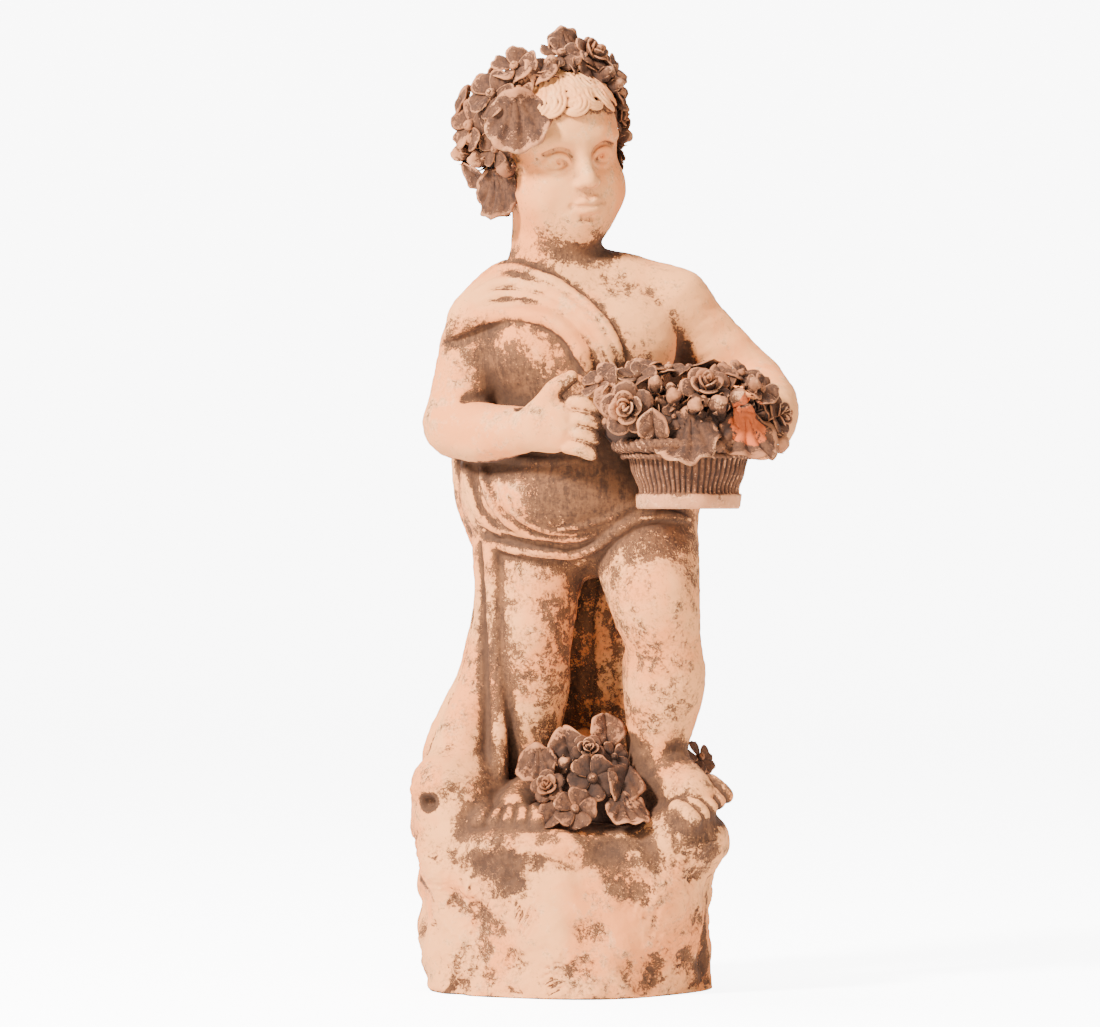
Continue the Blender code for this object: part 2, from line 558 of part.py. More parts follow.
def fused(heap, voxel, smoothing):
    """One skin over all the lumps in the heap, with its creases softened."""
    lumps = bmesh.new()
    for lump in heap:
        lumps.from_mesh(lump)
    mesh = bpy.data.meshes.new("clay")
    lumps.to_mesh(mesh)
    lumps.free()
    obj = bpy.data.objects.new("clay", mesh)
    skin = obj.modifiers.new("skin", "REMESH")
    skin.mode = "VOXEL"
    skin.voxel_size = voxel
    soft = obj.modifiers.new("soft", "SMOOTH")
    soft.factor = 0.5
    soft.iterations = round(smoothing)
    return mesh_of(obj)


def thinned(mesh, triangles):
    """The same skin in fewer triangles, small ones where it bends most."""
    obj = bpy.data.objects.new("clay", mesh)
    thin = obj.modifiers.new("thin", "DECIMATE")
    thin.ratio = triangles / (2 * len(mesh.polygons))
    thin.use_collapse_triangulate = True
    return mesh_of(obj)


def stood_on_flat(mesh):
    """Cuts the clay off flat at the ground and closes the cut."""
    clay = bmesh.new()
    clay.from_mesh(mesh)
    everything = clay.verts[:] + clay.edges[:] + clay.faces[:]
    cut = bmesh.ops.bisect_plane(clay, geom=everything, plane_co=(0, 0, 0), plane_no=(0, 0, -1), clear_outer=True)
    rim = [e for e in cut["geom_cut"] if isinstance(e, bmesh.types.BMEdge)]
    bmesh.ops.contextual_create(clay, geom=rim)
    bmesh.ops.recalc_face_normals(clay, faces=clay.faces)
    clay.to_mesh(mesh)
    clay.free()


def terracotta():
    """The fired clay's finish."""
    material = bpy.data.materials.new("terracotta")
    material.use_nodes = True
    shader = material.node_tree.nodes["Principled BSDF"]
    shader.inputs["Base Color"].default_value = TERRACOTTA
    shader.inputs["Roughness"].default_value = 0.85
    shader.inputs["Metallic"].default_value = 0.0
    return material


def main():
    """Builds the statue: the soft flesh first, then everything that keeps a crisper edge."""
    for obj in list(bpy.data.objects):
        bpy.data.objects.remove(obj)
    flesh = []
    press_flesh(flesh)
    clay = [fused(flesh, FLESH_VOXEL, FLESH_SMOOTHING)]
    press_head(clay)
    press_digits_all(clay)
    press_hair(clay)
    press_cloth(clay)
    press_mound(clay)
    press_basket(clay)
    press_flowers(clay)
    mesh = thinned(fused(clay, SKIN_VOXEL, SKIN_SMOOTHING), TRIANGLES)
    stood_on_flat(mesh)
    mesh.name = "boy_with_flower_basket"
    mesh.materials.append(terracotta())
    mesh.shade_smooth()
    statue = bpy.data.objects.new("boy_with_flower_basket", mesh)
    group = bpy.data.collections.new("boy_with_flower_basket_statue")
    bpy.context.scene.collection.children.link(group)
    group.objects.link(statue)


main()
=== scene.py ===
"""Dresses the terracotta statue of a small boy who holds a basket of flowers.

The boy, his head and the mound are worked as clay: numpy fields of signed distance, into which balls and
limbs are pressed and from which grooves are carved, and whose skins become meshes. The basket, petals, buds
and leaves are surfaces of two parameters. Sizes are in metres, +Z is up, and the boy faces -Y.
"""

import logging
import math
from collections.abc import Callable, Sequence
from dataclasses import dataclass, field
from enum import Enum

import bpy
import numpy as np
from mathutils import Euler, Matrix, Vector

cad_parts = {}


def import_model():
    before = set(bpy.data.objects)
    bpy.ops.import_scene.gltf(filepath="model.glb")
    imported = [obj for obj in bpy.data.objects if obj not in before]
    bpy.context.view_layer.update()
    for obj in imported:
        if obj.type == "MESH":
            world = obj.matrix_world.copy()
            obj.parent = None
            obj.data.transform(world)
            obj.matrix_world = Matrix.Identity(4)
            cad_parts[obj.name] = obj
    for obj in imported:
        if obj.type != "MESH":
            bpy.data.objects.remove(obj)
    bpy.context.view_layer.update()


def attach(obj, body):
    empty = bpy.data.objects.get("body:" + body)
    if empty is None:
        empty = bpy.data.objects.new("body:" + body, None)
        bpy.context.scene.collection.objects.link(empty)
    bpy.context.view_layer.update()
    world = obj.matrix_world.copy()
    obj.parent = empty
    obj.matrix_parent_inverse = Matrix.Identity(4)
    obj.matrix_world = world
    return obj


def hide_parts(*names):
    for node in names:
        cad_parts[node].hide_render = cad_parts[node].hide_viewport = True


NODE = "boy_with_flower_basket"
BODY = "root"
FAR = 0.06
TINY = 1e-12
GOLDEN_TURN = 2.39996

Triple = tuple[float, float, float]
Station = tuple[float, float, float, float]
Run = tuple[Station, ...]
Array = np.ndarray
Sheet = Callable[[Array, Array], Array]
Socket = bpy.types.NodeSocket
Thing = bpy.types.Object

log = logging.getLogger("statue")


class Touch(Enum):
    """What a thumb or a tool does to the clay."""

    PRESS = "press"
    CARVE = "carve"


class Kind(Enum):
    """What a modelled flower or leaf is."""

    ROSE = "rose"
    BLOSSOM = "blossom"
    BUD = "bud"
    LEAF = "leaf"
    FAN = "fan"


ROSE, BLOSSOM, BUD, LEAF, FAN = Kind


def turned(degrees: Triple) -> Matrix:
    """The 4x4 rotation by three angles in degrees."""
    return Euler([math.radians(a) for a in degrees]).to_matrix().to_4x4()


@dataclass(frozen=True)
class Stance:
    """Where the figure, his head and his basket stand. A figure unit is a hundredth of the boy's height."""

    mound_height: float = 0.130
    mound_foot: float = 0.107
    mound_top: float = 0.114
    boy_height: float = 0.600
    head_spot: Triple = (-1.9, 0.2, 87)
    head_turn: Triple = (6, -9, 25)
    head_scale: float = 1.1
    basket_spot: Triple = (15, -15.5, 40.6)
    basket_height: float = 0.053
    basket_rim: float = 0.058

    @property
    def figure(self) -> Matrix:
        """The boy's frame, with its origin on the mound between his feet."""
        return Matrix.Translation((0, 0, self.mound_height)) @ Matrix.Scale(self.boy_height / 100, 4)

    @property
    def head(self) -> Matrix:
        """The head's frame, with its origin at eye height."""
        turn = turned(self.head_turn)
        return self.figure @ Matrix.Translation(self.head_spot) @ turn @ Matrix.Scale(self.head_scale, 4)

    @property
    def basket(self) -> Matrix:
        """The basket's frame in metres, with its origin in the middle of its foot."""
        return Matrix.Translation(self.figure @ Vector(self.basket_spot))

    @property
    def basket_top(self) -> Matrix:
        """The frame at the middle of the basket's rim, in tenths of the rim's radius."""
        rim = self.basket @ Matrix.Translation((0, 0, self.basket_height))
        return rim @ Matrix.Scale(self.basket_rim / 10, 4)

    @property
    def mound(self) -> Matrix:
        """The frame at the middle of the mound's top, in tenths of its top radius."""
        return Matrix.Translation((0, 0, self.mound_height)) @ Matrix.Scale(self.mound_top / 10, 4)


STANCE = Stance()


def smooth_run(stations: Sequence[Sequence[float]], steps: int = 6) -> Array:
    """Runs a Catmull-Rom curve through stations.

    Between stations b and c, with neighbours a and d, a value at share t is half of
    2b + (c - a)t + (2a - 5b + 4c - d)t^2 + (3b - a - 3c + d)t^3.

    Args:
        stations: rows of values, such as x, y, z and radius.
        steps: points for each span.

    Returns:
        The rows of points along the curve.
    """
    held = np.array([stations[0], *stations, stations[-1]], float)
    t = np.linspace(0, 1, steps, endpoint=False)[:, None]
    spans = [
        0.5 * (2 * b + (c - a) * t + (2 * a - 5 * b + 4 * c - d) * t**2 + (3 * b - a - 3 * c + d) * t**3)
        for a, b, c, d in zip(held, held[1:], held[2:], held[3:])
    ]
    return np.vstack([*spans, held[-1:]])


def sided(side: int, stations: Sequence[Station]) -> list[Station]:
    """Stations of the left side, moved to the right where side is -1."""
    return [(side * x, y, z, radius) for x, y, z, radius in stations]


def mirrored(stations: Sequence[Station]) -> list[Station]:
    """Stations that run from the right to the middle, and back out on the left."""
    return [*stations, *sided(-1, [row for row in reversed(stations) if row[0]])]


def placed(frame: Matrix, points: Array) -> Array:
    """Moves rows of points by a frame."""
    spin = np.array(frame)
    return points @ spin[:3, :3].T + spin[:3, 3]


def ripple(points: Array, wavelength: float, seed: int, waves: int = 12) -> Array:
    """Uneven relief as a sum of plane waves.

    The value is the sum of sines of (direction . point) * 2 pi / wavelength + phase, over random directions
    and slightly different wavelengths, divided by the root of half their number.

    Args:
        points: rows of x, y, z.
        wavelength: the mean wavelength, in metres.
        seed: picks the directions and phases.
        waves: how many sines are summed.

    Returns:
        One value a point, mostly between -2 and 2.
    """
    draw = np.random.default_rng(seed)
    direction = draw.normal(size=(3, waves))
    direction /= np.linalg.norm(direction, axis=0)
    pace = 2 * math.pi / (wavelength * draw.uniform(0.6, 1.6, waves))
    phase = draw.uniform(0, 2 * math.pi, waves)
    return np.sin(points @ (direction * pace) + phase).sum(1) / math.sqrt(waves / 2)


def rippled(points: Array, table: Sequence[tuple[float, float, int]]) -> Array:
    """The sum of ripples, each given by its height, its wavelength in metres and its seed."""
    return sum(height * ripple(points, wavelength, seed) for height, wavelength, seed in table)


@dataclass
class ClayGrid:
    """Clay as a field of signed distance in metres on a grid: below nought is clay, above it air.

    Attributes:
        low: the grid's lowest corner.
        high: its highest corner.
        step: its pitch.
        reach: how far from a surface the field stays true.
        trim_slope: how far the skin leans in, a metre, past the height where it is trimmed.
    """

    low: Triple
    high: Triple
    step: float
    reach: float
    trim_slope: float = 0.05

    def __post_init__(self) -> None:
        """Lays out the grid, all air."""
        self.shape = tuple(math.ceil((b - a) / self.step) + 1 for a, b in zip(self.low, self.high))
        self.field = np.full(self.shape, FAR, np.float32)
        self.lines = [(a + self.step * np.arange(n)).astype(np.float32) for a, n in zip(self.low, self.shape)]

    def window(self, low: Sequence[float], high: Sequence[float]) -> tuple[slice, ...] | None:
        """The part of the grid between two corners, or None where they miss it."""
        cut = []
        for a, b, start, count in zip(low, high, self.low, self.shape):
            first = max(0, math.floor((a - start) / self.step))
            last = min(count, math.ceil((b - start) / self.step) + 1)
            if last - first < 2:
                return None
            cut.append(slice(first, last))
        return tuple(cut)

    def across(self, window: tuple[slice, ...]) -> tuple[Array, Array, Array]:
        """The x, y and z of a window, shaped to broadcast against each other."""
        x, y, z = (line[cut] for line, cut in zip(self.lines, window))
        return x[:, None, None], y[None, :, None], z[None, None, :]

    def merge(self, window: tuple[slice, ...], distance: Array, blend: float, how: Touch) -> None:
        """Joins a shape to the clay, or takes it out, with a fillet.

        A smooth least of a and b is min(a, b) - h^2 / 4k with h = max(k - |a - b|, 0). Carving takes it of
        the field turned inside out.

        Args:
            window: the part of the grid that the shape reaches.
            distance: the shape's own signed distance there.
            blend: k, the fillet's width, in metres.
            how: press or carve.
        """
        side = 1 if how is Touch.PRESS else -1
        clay = side * self.field[window]
        fillet = np.maximum(blend - np.abs(clay - distance), 0)
        self.field[window] = side * (np.minimum(clay, distance) - fillet * fillet / (4 * blend))

    def ball(
        self,
        frame: Matrix,
        centre: Triple,
        radii: Triple,
        turn: Triple = (0, 0, 0),
        blend: float = 1.0,
        how: Touch = Touch.PRESS,
    ) -> None:
        """Presses or carves an egg.

        With p the place along the egg's own axes and r its radii, its distance is k(k - 1)/g, where k is the
        length of p/r and g the length of p/r^2.

        Args:
            frame: the frame that the other values are given in.
            centre: the egg's middle.
            radii: its radii along its own axes.
            turn: its rotation in degrees.
            blend: the fillet's width.
            how: press or carve.
        """
        scale = frame.to_scale()[0]
        local = frame @ Matrix.Translation(centre) @ turned(turn)
        axes = np.array(local.to_3x3(), np.float32) / scale
        size = np.array(radii, np.float32) * scale
        middle = np.array(local.translation, np.float32)
        half = np.sqrt(((axes * size) ** 2).sum(1)) + blend * scale + self.reach
        window = self.window(middle - half, middle + half)
        if window is None:
            return
        x, y, z = (line - m for line, m in zip(self.across(window), middle))
        k = g = 0
        for axis, r in zip(axes.T, size):
            share = (axis[0] * x + axis[1] * y + axis[2] * z) / r
            k = k + share * share
            g = g + (share / r) ** 2
        k = np.sqrt(np.maximum(k, 1e-8))
        distance = k * (k - 1) / np.sqrt(np.maximum(g, 1e-8 / size.max() ** 2))
        self.merge(window, distance, blend * scale, how)

    def limb(
        self,
        frame: Matrix,
        stations: Sequence[Station],
        blend: float = 0.5,
        how: Touch = Touch.PRESS,
        steps: int = 6,
    ) -> None:
        """Presses or carves a tapering limb.

        Each short stretch of the curve through the stations is a capsule: the distance to its line at share
        t, less the radius there. The limb is the least of them.

        Args:
            frame: the frame that the stations are given in.
            stations: x, y, z and radius along the limb.
            blend: the fillet's width where it meets the clay.
            how: press or carve.
            steps: capsules for each span between stations.
        """
        scale = frame.to_scale()[0]
        run = smooth_run(stations, steps)
        spine = placed(frame, run[:, :3])
        thick = run[:, 3] * scale
        pad = blend * scale + self.reach
        whole = self.window(spine.min(0) - thick.max() - pad, spine.max(0) + thick.max() + pad)
        if whole is None:
            return
        distance = np.full([cut.stop - cut.start for cut in whole], FAR, np.float32)
        for a, b, ra, rb in zip(spine, spine[1:], thick, thick[1:]):
            fat = max(ra, rb) + pad
            part = self.window(np.minimum(a, b) - fat, np.maximum(a, b) + fat)
            if part is None:
                continue
            x, y, z = (line - np.float32(m) for line, m in zip(self.across(part), a))
            way = (b - a).astype(np.float32)
            length = max(float(way @ way), TINY)
            t = np.clip((x * way[0] + y * way[1] + z * way[2]) / length, 0, 1)
            gap = (x - t * way[0]) ** 2 + (y - t * way[1]) ** 2 + (z - t * way[2]) ** 2
            held = tuple(slice(p.start - w.start, p.stop - w.start) for p, w in zip(part, whole))
            capsule = np.sqrt(gap) - (np.float32(ra) + t * np.float32(rb - ra))
            distance[held] = np.minimum(distance[held], capsule)
        self.merge(whole, distance, blend * scale, how)

    def trim(self, height: float, above: bool, lean: float) -> None:
        """Cuts the clay off level beyond a height, after leaning its skin slightly inwards on that side.

        Args:
            height: where two pieces of clay change places.
            above: True takes the clay above away, False the clay below.
            lean: how far the cut lies beyond the height.
        """
        beyond = (self.lines[2] - height) * (1 if above else -1)
        self.field += np.maximum(beyond, 0)[None, None, :] * np.float32(self.trim_slope)
        np.maximum(self.field, (beyond - lean)[None, None, :], out=self.field)

    def sampled(self, points: Array) -> Array:
        """The field at rows of points, by straight-line interpolation between the eight nodes about each."""
        place = (points - np.array(self.low)) / self.step
        base = np.clip(np.floor(place).astype(int), 0, np.array(self.shape) - 2)
        share = np.clip(place - base, 0, 1)
        total = np.zeros(len(points))
        for corner in np.ndindex(2, 2, 2):
            weight = np.prod(np.where(corner, share, 1 - share), axis=1)
            total += weight * self.field[tuple((base + corner).T)]
        return total

    def felt(self, starts: Array, ways: Array, reach: float) -> Array:
        """Feels along lines for the clay's surface.

        Args:
            starts: rows of the places that the lines start from.
            ways: rows of their directions, each a metre long.
            reach: how far to feel.

        Returns:
            How far along each line it first goes into the clay or out of it, or the reach where it never
            does.
        """
        away = np.arange(0, reach, self.step / 3)
        points = starts[:, None, :] + ways[:, None, :] * away[None, :, None]
        inside = self.sampled(points.reshape(-1, 3)).reshape(len(starts), -1) < 0
        changed = inside != inside[:, :1]
        return np.where(changed.any(1), away[changed.argmax(1)], reach)

    def skin(self) -> tuple[Array, Array]:
        """The clay's surface as a net of four-sided faces.

        Each cell that the surface crosses gets one vertex, the mean of the places where it crosses the cell's
        edges, and each grid edge that it crosses gets one face between the four cells about it.

        Returns:
            Rows of vertices, and rows of four vertex numbers that turn outwards.
        """
        inside = self.field < 0
        count = np.zeros([n - 1 for n in self.shape], np.uint8)
        spans = [(slice(None, -1), slice(1, None))] * 3
        for i, j, k in np.ndindex(2, 2, 2):
            count += inside[spans[0][i], spans[1][j], spans[2][k]]
        cells = np.flatnonzero((count > 0) & (count < 8))
        rank = np.full(count.size, -1, np.int32)
        rank[cells] = np.arange(len(cells), dtype=np.int32)
        rank = rank.reshape(count.shape)
        base = np.array(np.unravel_index(cells, count.shape))
        total = np.zeros((3, len(cells)))
        hits = np.zeros(len(cells))
        for axis in range(3):
            others = [a for a in range(3) if a != axis]
            for near in np.ndindex(2, 2):
                start = np.zeros(3, int)
                start[others] = near
                end = start.copy()
                end[axis] = 1
                a = self.field[tuple(base + start[:, None])]
                b = self.field[tuple(base + end[:, None])]
                crossed = (a < 0) != (b < 0)
                share = np.where(crossed, a / np.where(a == b, 1, a - b), 0)
                total += crossed * start[:, None]
                total[axis] += share
                hits += crossed
        points = ((base + total / hits).T) * self.step + np.array(self.low)
        return points, np.vstack([self.faces_across(inside, rank, axis) for axis in range(3)])

    def faces_across(self, inside: Array, rank: Array, axis: int) -> Array:
        """The net's faces that cross the grid edges along one axis."""
        after = np.moveaxis(inside, axis, 0)
        ranks = np.moveaxis(rank, axis, 0)
        if axis == 1:
            after, ranks = after.swapaxes(1, 2), ranks.swapaxes(1, 2)
        changed = after[:-1, 1:-1, 1:-1] != after[1:, 1:-1, 1:-1]
        i, j, k = np.nonzero(changed)
        quad = np.stack([ranks[i, j, k], ranks[i, j + 1, k], ranks[i, j + 1, k + 1], ranks[i, j, k + 1]], 1)
        outwards = after[i, j + 1, k + 1]
        return np.where(outwards[:, None], quad, quad[:, ::-1])


@dataclass(frozen=True)
class Sizes:
    """How fine the clay is worked, in metres and triangles."""

    body_step: float = 0.0011
    mound_step: float = 0.0010
    head_step: float = 0.0008
    reach: float = 0.004
    head_reach: float = 0.003
    air_step: float = 0.005
    air_reach: float = 0.035
    body_triangles: int = 195000
    mound_triangles: int = 120000
    head_triangles: int = 160000


SIZES = Sizes()


def mesh_from(name: str, points: Array, faces: Array) -> Thing:
    """Makes a smooth object from rows of points and rows of vertex numbers."""
    mesh = bpy.data.meshes.new(name)
    sides = faces.shape[1]
    mesh.vertices.add(len(points))
    mesh.vertices.foreach_set("co", points.astype(np.float32).ravel())
    mesh.loops.add(faces.size)
    mesh.loops.foreach_set("vertex_index", faces.astype(np.int32).ravel())
    mesh.polygons.add(len(faces))
    mesh.polygons.foreach_set("loop_start", np.arange(0, faces.size, sides, dtype=np.int32))
    mesh.update(calc_edges=True)
    mesh.validate()
    mesh.shade_smooth()
    thing = bpy.data.objects.new(name, mesh)
    bpy.context.scene.collection.objects.link(thing)
    return thing


def turned_faces(rings: Sequence[int], count: int, tip: int, tail: int | None = None) -> Array:
    """The triangles of a turned surface, from a tip over rings of points to a tail.

    Args:
        rings: the number of the first point of each ring.
        count: how many points a ring has.
        tip: the number of the point before the first ring.
        tail: the number of the point after the last ring, if there is one.

    Returns:
        Rows of three vertex numbers.
    """
    k = np.arange(count)
    after = (k + 1) % count
    parts = [np.stack([np.full(count, tip), rings[0] + k, rings[0] + after], 1)]
    for near, far in zip(rings, rings[1:]):
        parts.append(np.stack([near + k, far + k, far + after], 1))
        parts.append(np.stack([near + k, far + after, near + after], 1))
    if tail is not None:
        parts.append(np.stack([np.full(count, tail), rings[-1] + after, rings[-1] + k], 1))
    return np.vstack(parts)


def read_rows(mesh: bpy.types.Mesh, what: str) -> Array:
    """Rows of x, y and z for a mesh's vertices: their places, "co", or the ways they face, "normal"."""
    flat = np.empty(len(mesh.vertices) * 3, np.float32)
    mesh.vertices.foreach_get(what, flat)
    return flat.reshape(-1, 3).astype(float)


def write_values(mesh: bpy.types.Mesh, name: str, values: Array) -> None:
    """Keeps one number a vertex as an attribute that the finishes read."""
    attribute = mesh.attributes.get(name) or mesh.attributes.new(name, "FLOAT", "POINT")
    attribute.data.foreach_set("value", values.astype(np.float32))


def read_values(mesh: bpy.types.Mesh, name: str) -> Array:
    """The numbers that write_values kept."""
    values = np.empty(len(mesh.vertices), np.float32)
    mesh.attributes[name].data.foreach_get("value", values)
    return values.astype(float)


def thinned(thing: Thing, triangles: int) -> Thing:
    """Thins an object's mesh to about so many triangles, keeping small ones where it bends."""
    name = thing.name
    now = sum(len(face.vertices) - 2 for face in thing.data.polygons[:1]) * len(thing.data.polygons)
    thin = thing.modifiers.new("thin", "DECIMATE")
    thin.ratio = min(1.0, triangles / now)
    thin.use_collapse_triangulate = True
    graph = bpy.context.evaluated_depsgraph_get()
    mesh = bpy.data.meshes.new_from_object(thing.evaluated_get(graph))
    old = thing.data
    bpy.data.objects.remove(thing)
    bpy.data.meshes.remove(old)
    mesh.name = name
    mesh.shade_smooth()
    kept = bpy.data.objects.new(name, mesh)
    bpy.context.scene.collection.objects.link(kept)
    return kept


def settle(thing: Thing, finish: "WornClay") -> None:
    """Gives a finished piece its clay and its body, and hides the model's node that the pieces stand for."""
    thing.data.materials.clear()
    thing.data.materials.append(finish.material())
    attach(thing, BODY)
    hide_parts(NODE)
    log.info("%s: %d faces", thing.name, len(thing.data.polygons))


@dataclass
class Boy:
    """The boy's bare body, in figure units: trunk, neck, arms, legs, hands and feet.

    Limbs and creases are rows of x, y, z and radius. The trunk's rows and those of the leg joints, which are
    the kneecaps, calves and ankle bones, hold an egg's centre, radii and blend. Fingers and toes hold the
    first one's root and tip, the last one's root and tip, and the radius.
    """

    frame: Matrix = field(default_factory=lambda: STANCE.figure)
    trunk: tuple = (
        ((2.9, 1, 39.6), (12, 9, 8), 2),
        ((1.4, -1.6, 46), (11.4, 9.6, 9), 3),
        ((1.6, -0.3, 54.5), (11.4, 8.8, 9.5), 3),
        ((1.6, 0.2, 62), (12.2, 8.2, 9), 3),
        ((-4.6, -4.2, 61), (6, 3.6, 5.4), 3),
        ((7.4, -4, 62.4), (6, 3.6, 5.4), 3),
        ((-2.6, 5.6, 38.6), (6.6, 5.6, 7), 2),
        ((8, 5.6, 38.6), (6.6, 5.6, 7), 2),
    )
    shoulders: Run = (
        (-10.8, 0.3, 64.4, 4.8), (-7.6, 0.6, 67.4, 4.4), (-2, 0.8, 69.4, 4.6), (5, 0.8, 69.6, 4.6),
        (10, 0.8, 68.4, 4.6), (13.4, 0.8, 67, 4.8),
    )
    neck: Run = ((-1.6, 1.4, 69, 6), (-2.1, 1, 74.5, 5.6), (-1.8, 0.8, 80, 5.4))
    right_arm: Run = ((-11.2, 0.2, 64, 4.8), (-12.9, -0.6, 58.5, 4.6), (-14.5, -2.2, 52.2, 4.2))
    right_forearm: Run = (
        (-14.5, -2.4, 51.4, 4.1), (-11, -7.2, 50.4, 3.9), (-6.8, -11.9, 50.6, 3.1),
        (-4.4, -14.2, 50.9, 2.6),
    )
    left_arm: Run = ((13.4, 0.8, 67, 4.8), (18, 1.2, 62.6, 4.2), (23.4, 0.6, 57, 4.1))
    armpit: tuple = ((14.6, 2.2, 57), (5.6, 2.6, 7))
    left_forearm: Run = (
        (23.8, 0.2, 56.6, 4.1), (25.5, -5.5, 54, 3.9), (25.6, -11, 51.6, 3.3), (24.6, -14.6, 50, 2.8),
    )
    right_leg: Run = (
        (-3.2, 0.8, 39, 6.8), (-4.4, 0.2, 32, 6.1), (-4.8, -0.8, 23.5, 5), (-5.1, 0.4, 17, 4.8),
        (-5.4, 0.9, 9.5, 3.7), (-5.5, 1.2, 4, 3.4),
    )
    left_leg: Run = (
        (9.6, -1, 39, 7), (10.1, -5, 33.6, 6.6), (11, -7.8, 28.2, 5.7), (12, -7.3, 23.2, 4.9),
        (12.2, -6.2, 18.2, 5.2), (11.4, -5.2, 11.7, 4.2), (11, -5, 7, 3.8),
    )
    right_foot: Run = ((-5.5, 2, 2.6, 3.1), (-6, -3, 3, 3.1), (-7, -8.2, 1.8, 2.6))
    left_foot: Run = ((10.6, -3.6, 5.6, 4), (13.4, -7.2, 5.2, 3.8), (15.6, -10.4, 3.6, 3.2))
    right_palm: tuple = ((-2.3, -15.2, 51.3), (3.9, 2.1, 3.6), (0, 4, -20))
    right_fingers: tuple = (
        (0.4, -16.3, 54.1), (3.6, -16.4, 53.3), (-0.3, -16.2, 48.6), (2.6, -16.6, 47.7), 1.04
    )
    right_thumb: Run = ((-4, -15, 53, 1.5), (-2.2, -15.8, 55.6, 1.25), (0.1, -15.8, 57.3, 0.95))
    left_palm: tuple = ((24, -14.6, 49.4), (1.8, 3, 2.4), (0, -18, 12))
    left_fingers: tuple = (
        (24, -16.6, 50.4), (21.8, -19.6, 49.8), (23.4, -16.2, 48.2), (21.4, -18.8, 47.6), 0.9
    )
    right_toes: tuple = (
        (-10.4, -8.6, 1.5), (-11.4, -11, 0.7), (-4.4, -10.6, 2), (-4.2, -14, 1), 0.98
    )
    elbow: tuple = ((-14.6, -1.4, 51.6), (4.2, 4.2, 4.2))
    leg_joints: tuple = (
        ((11.2, -11.2, 30), (3.2, 2.4, 3.4), 2.4),
        ((11.6, -3.6, 20), (4.6, 4, 6.4), 2),
        ((-4.8, -4.4, 25.6), (2.8, 1.6, 2.8), 2),
        ((-5, 2.4, 18.4), (4.4, 3.8, 6.4), 2),
        ((-8.4, 0.8, 5.4), (1.2, 1.4, 1.4), 1.2),
        ((14.2, -5, 7.4), (1.2, 1.4, 1.4), 1.2),
    )
    left_toes: tuple = ((18, -8.2, 5.4), (19.9, -9.4, 3.9), (13.8, -13.4, 2.5), (15.7, -15.8, 1), 1.14)
    knuckles: tuple = ((-0.4, -17.8, 53.4), (-0.1, -18, 51.9), (-0.3, -18, 50.3), (-0.8, -17.8, 48.8))
    creases: tuple = (
        ((-6.6, -12.9, 54, 0.3), (-5.9, -14.3, 51.4, 0.35), (-5.6, -13.4, 48.6, 0.3)),
        ((-13.4, -6.4, 54.8, 0.4), (-11, -6.2, 54.8, 0.5), (-8.8, -7, 54.2, 0.3)),
        ((8.6, -8.6, 9.8, 0.3), (11.2, -9.9, 9.2, 0.4), (13.8, -8.4, 9.8, 0.3)),
        ((-6.4, -4.4, 74.6, 0.4), (-2, -5.3, 73.2, 0.5), (3, -4.2, 74.6, 0.3)),
        ((3.2, -9, 64, 0.4), (3.4, -8.6, 60, 0.5), (2.8, -8.8, 56, 0.5)),
        ((-5, -11.8, 43, 0.9), (2, -12.8, 44.6, 1.1), (8, -11.8, 45.4, 0.8)),
        ((20.4, -3.4, 58.6, 0.3), (22.4, -4, 57, 0.5), (24, -4.6, 55.8, 0.3)),
    )

    def press(self, clay: ClayGrid) -> None:
        """Presses the whole body into the clay."""
        self.press_trunk(clay)
        clay.limb(self.frame, self.right_arm, blend=1.6)
        clay.ball(self.frame, *self.armpit, blend=1.0)
        clay.limb(self.frame, self.left_arm, blend=1.4)
        clay.ball(self.frame, *self.elbow, blend=1.4)
        for limb in (self.right_forearm, self.left_forearm):
            clay.limb(self.frame, limb, blend=0.9)
        for limb in (self.right_leg, self.left_leg):
            clay.limb(self.frame, limb, blend=1.6)
        for centre, radii, blend in self.leg_joints:
            clay.ball(self.frame, centre, radii, blend=blend)
        for limb in (self.right_foot, self.left_foot):
            clay.limb(self.frame, limb, blend=1.4)
        clay.ball(self.frame, *self.right_palm, blend=1.4)
        clay.ball(self.frame, *self.left_palm, blend=1.4)
        for fingers in (self.right_fingers, self.left_fingers):
            self.press_digits(clay, fingers, 4, 0.15)
        for toes in (self.right_toes, self.left_toes):
            self.press_digits(clay, toes, 5, 0.2)
        clay.limb(self.frame, self.right_thumb, blend=0.7)
        for knuckle in self.knuckles:
            clay.ball(self.frame, knuckle, (0.5, 0.7, 0.5), blend=0.5, how=Touch.CARVE)
        for crease in self.creases:
            clay.limb(self.frame, crease, blend=0.8, how=Touch.CARVE)

    def press_trunk(self, clay: ClayGrid) -> None:
        """Presses the trunk, the shoulders and the neck."""
        for centre, radii, blend in self.trunk:
            clay.ball(self.frame, centre, radii, blend=blend)
        clay.limb(self.frame, self.shoulders, blend=2.4)
        clay.limb(self.frame, self.neck, blend=2.6)

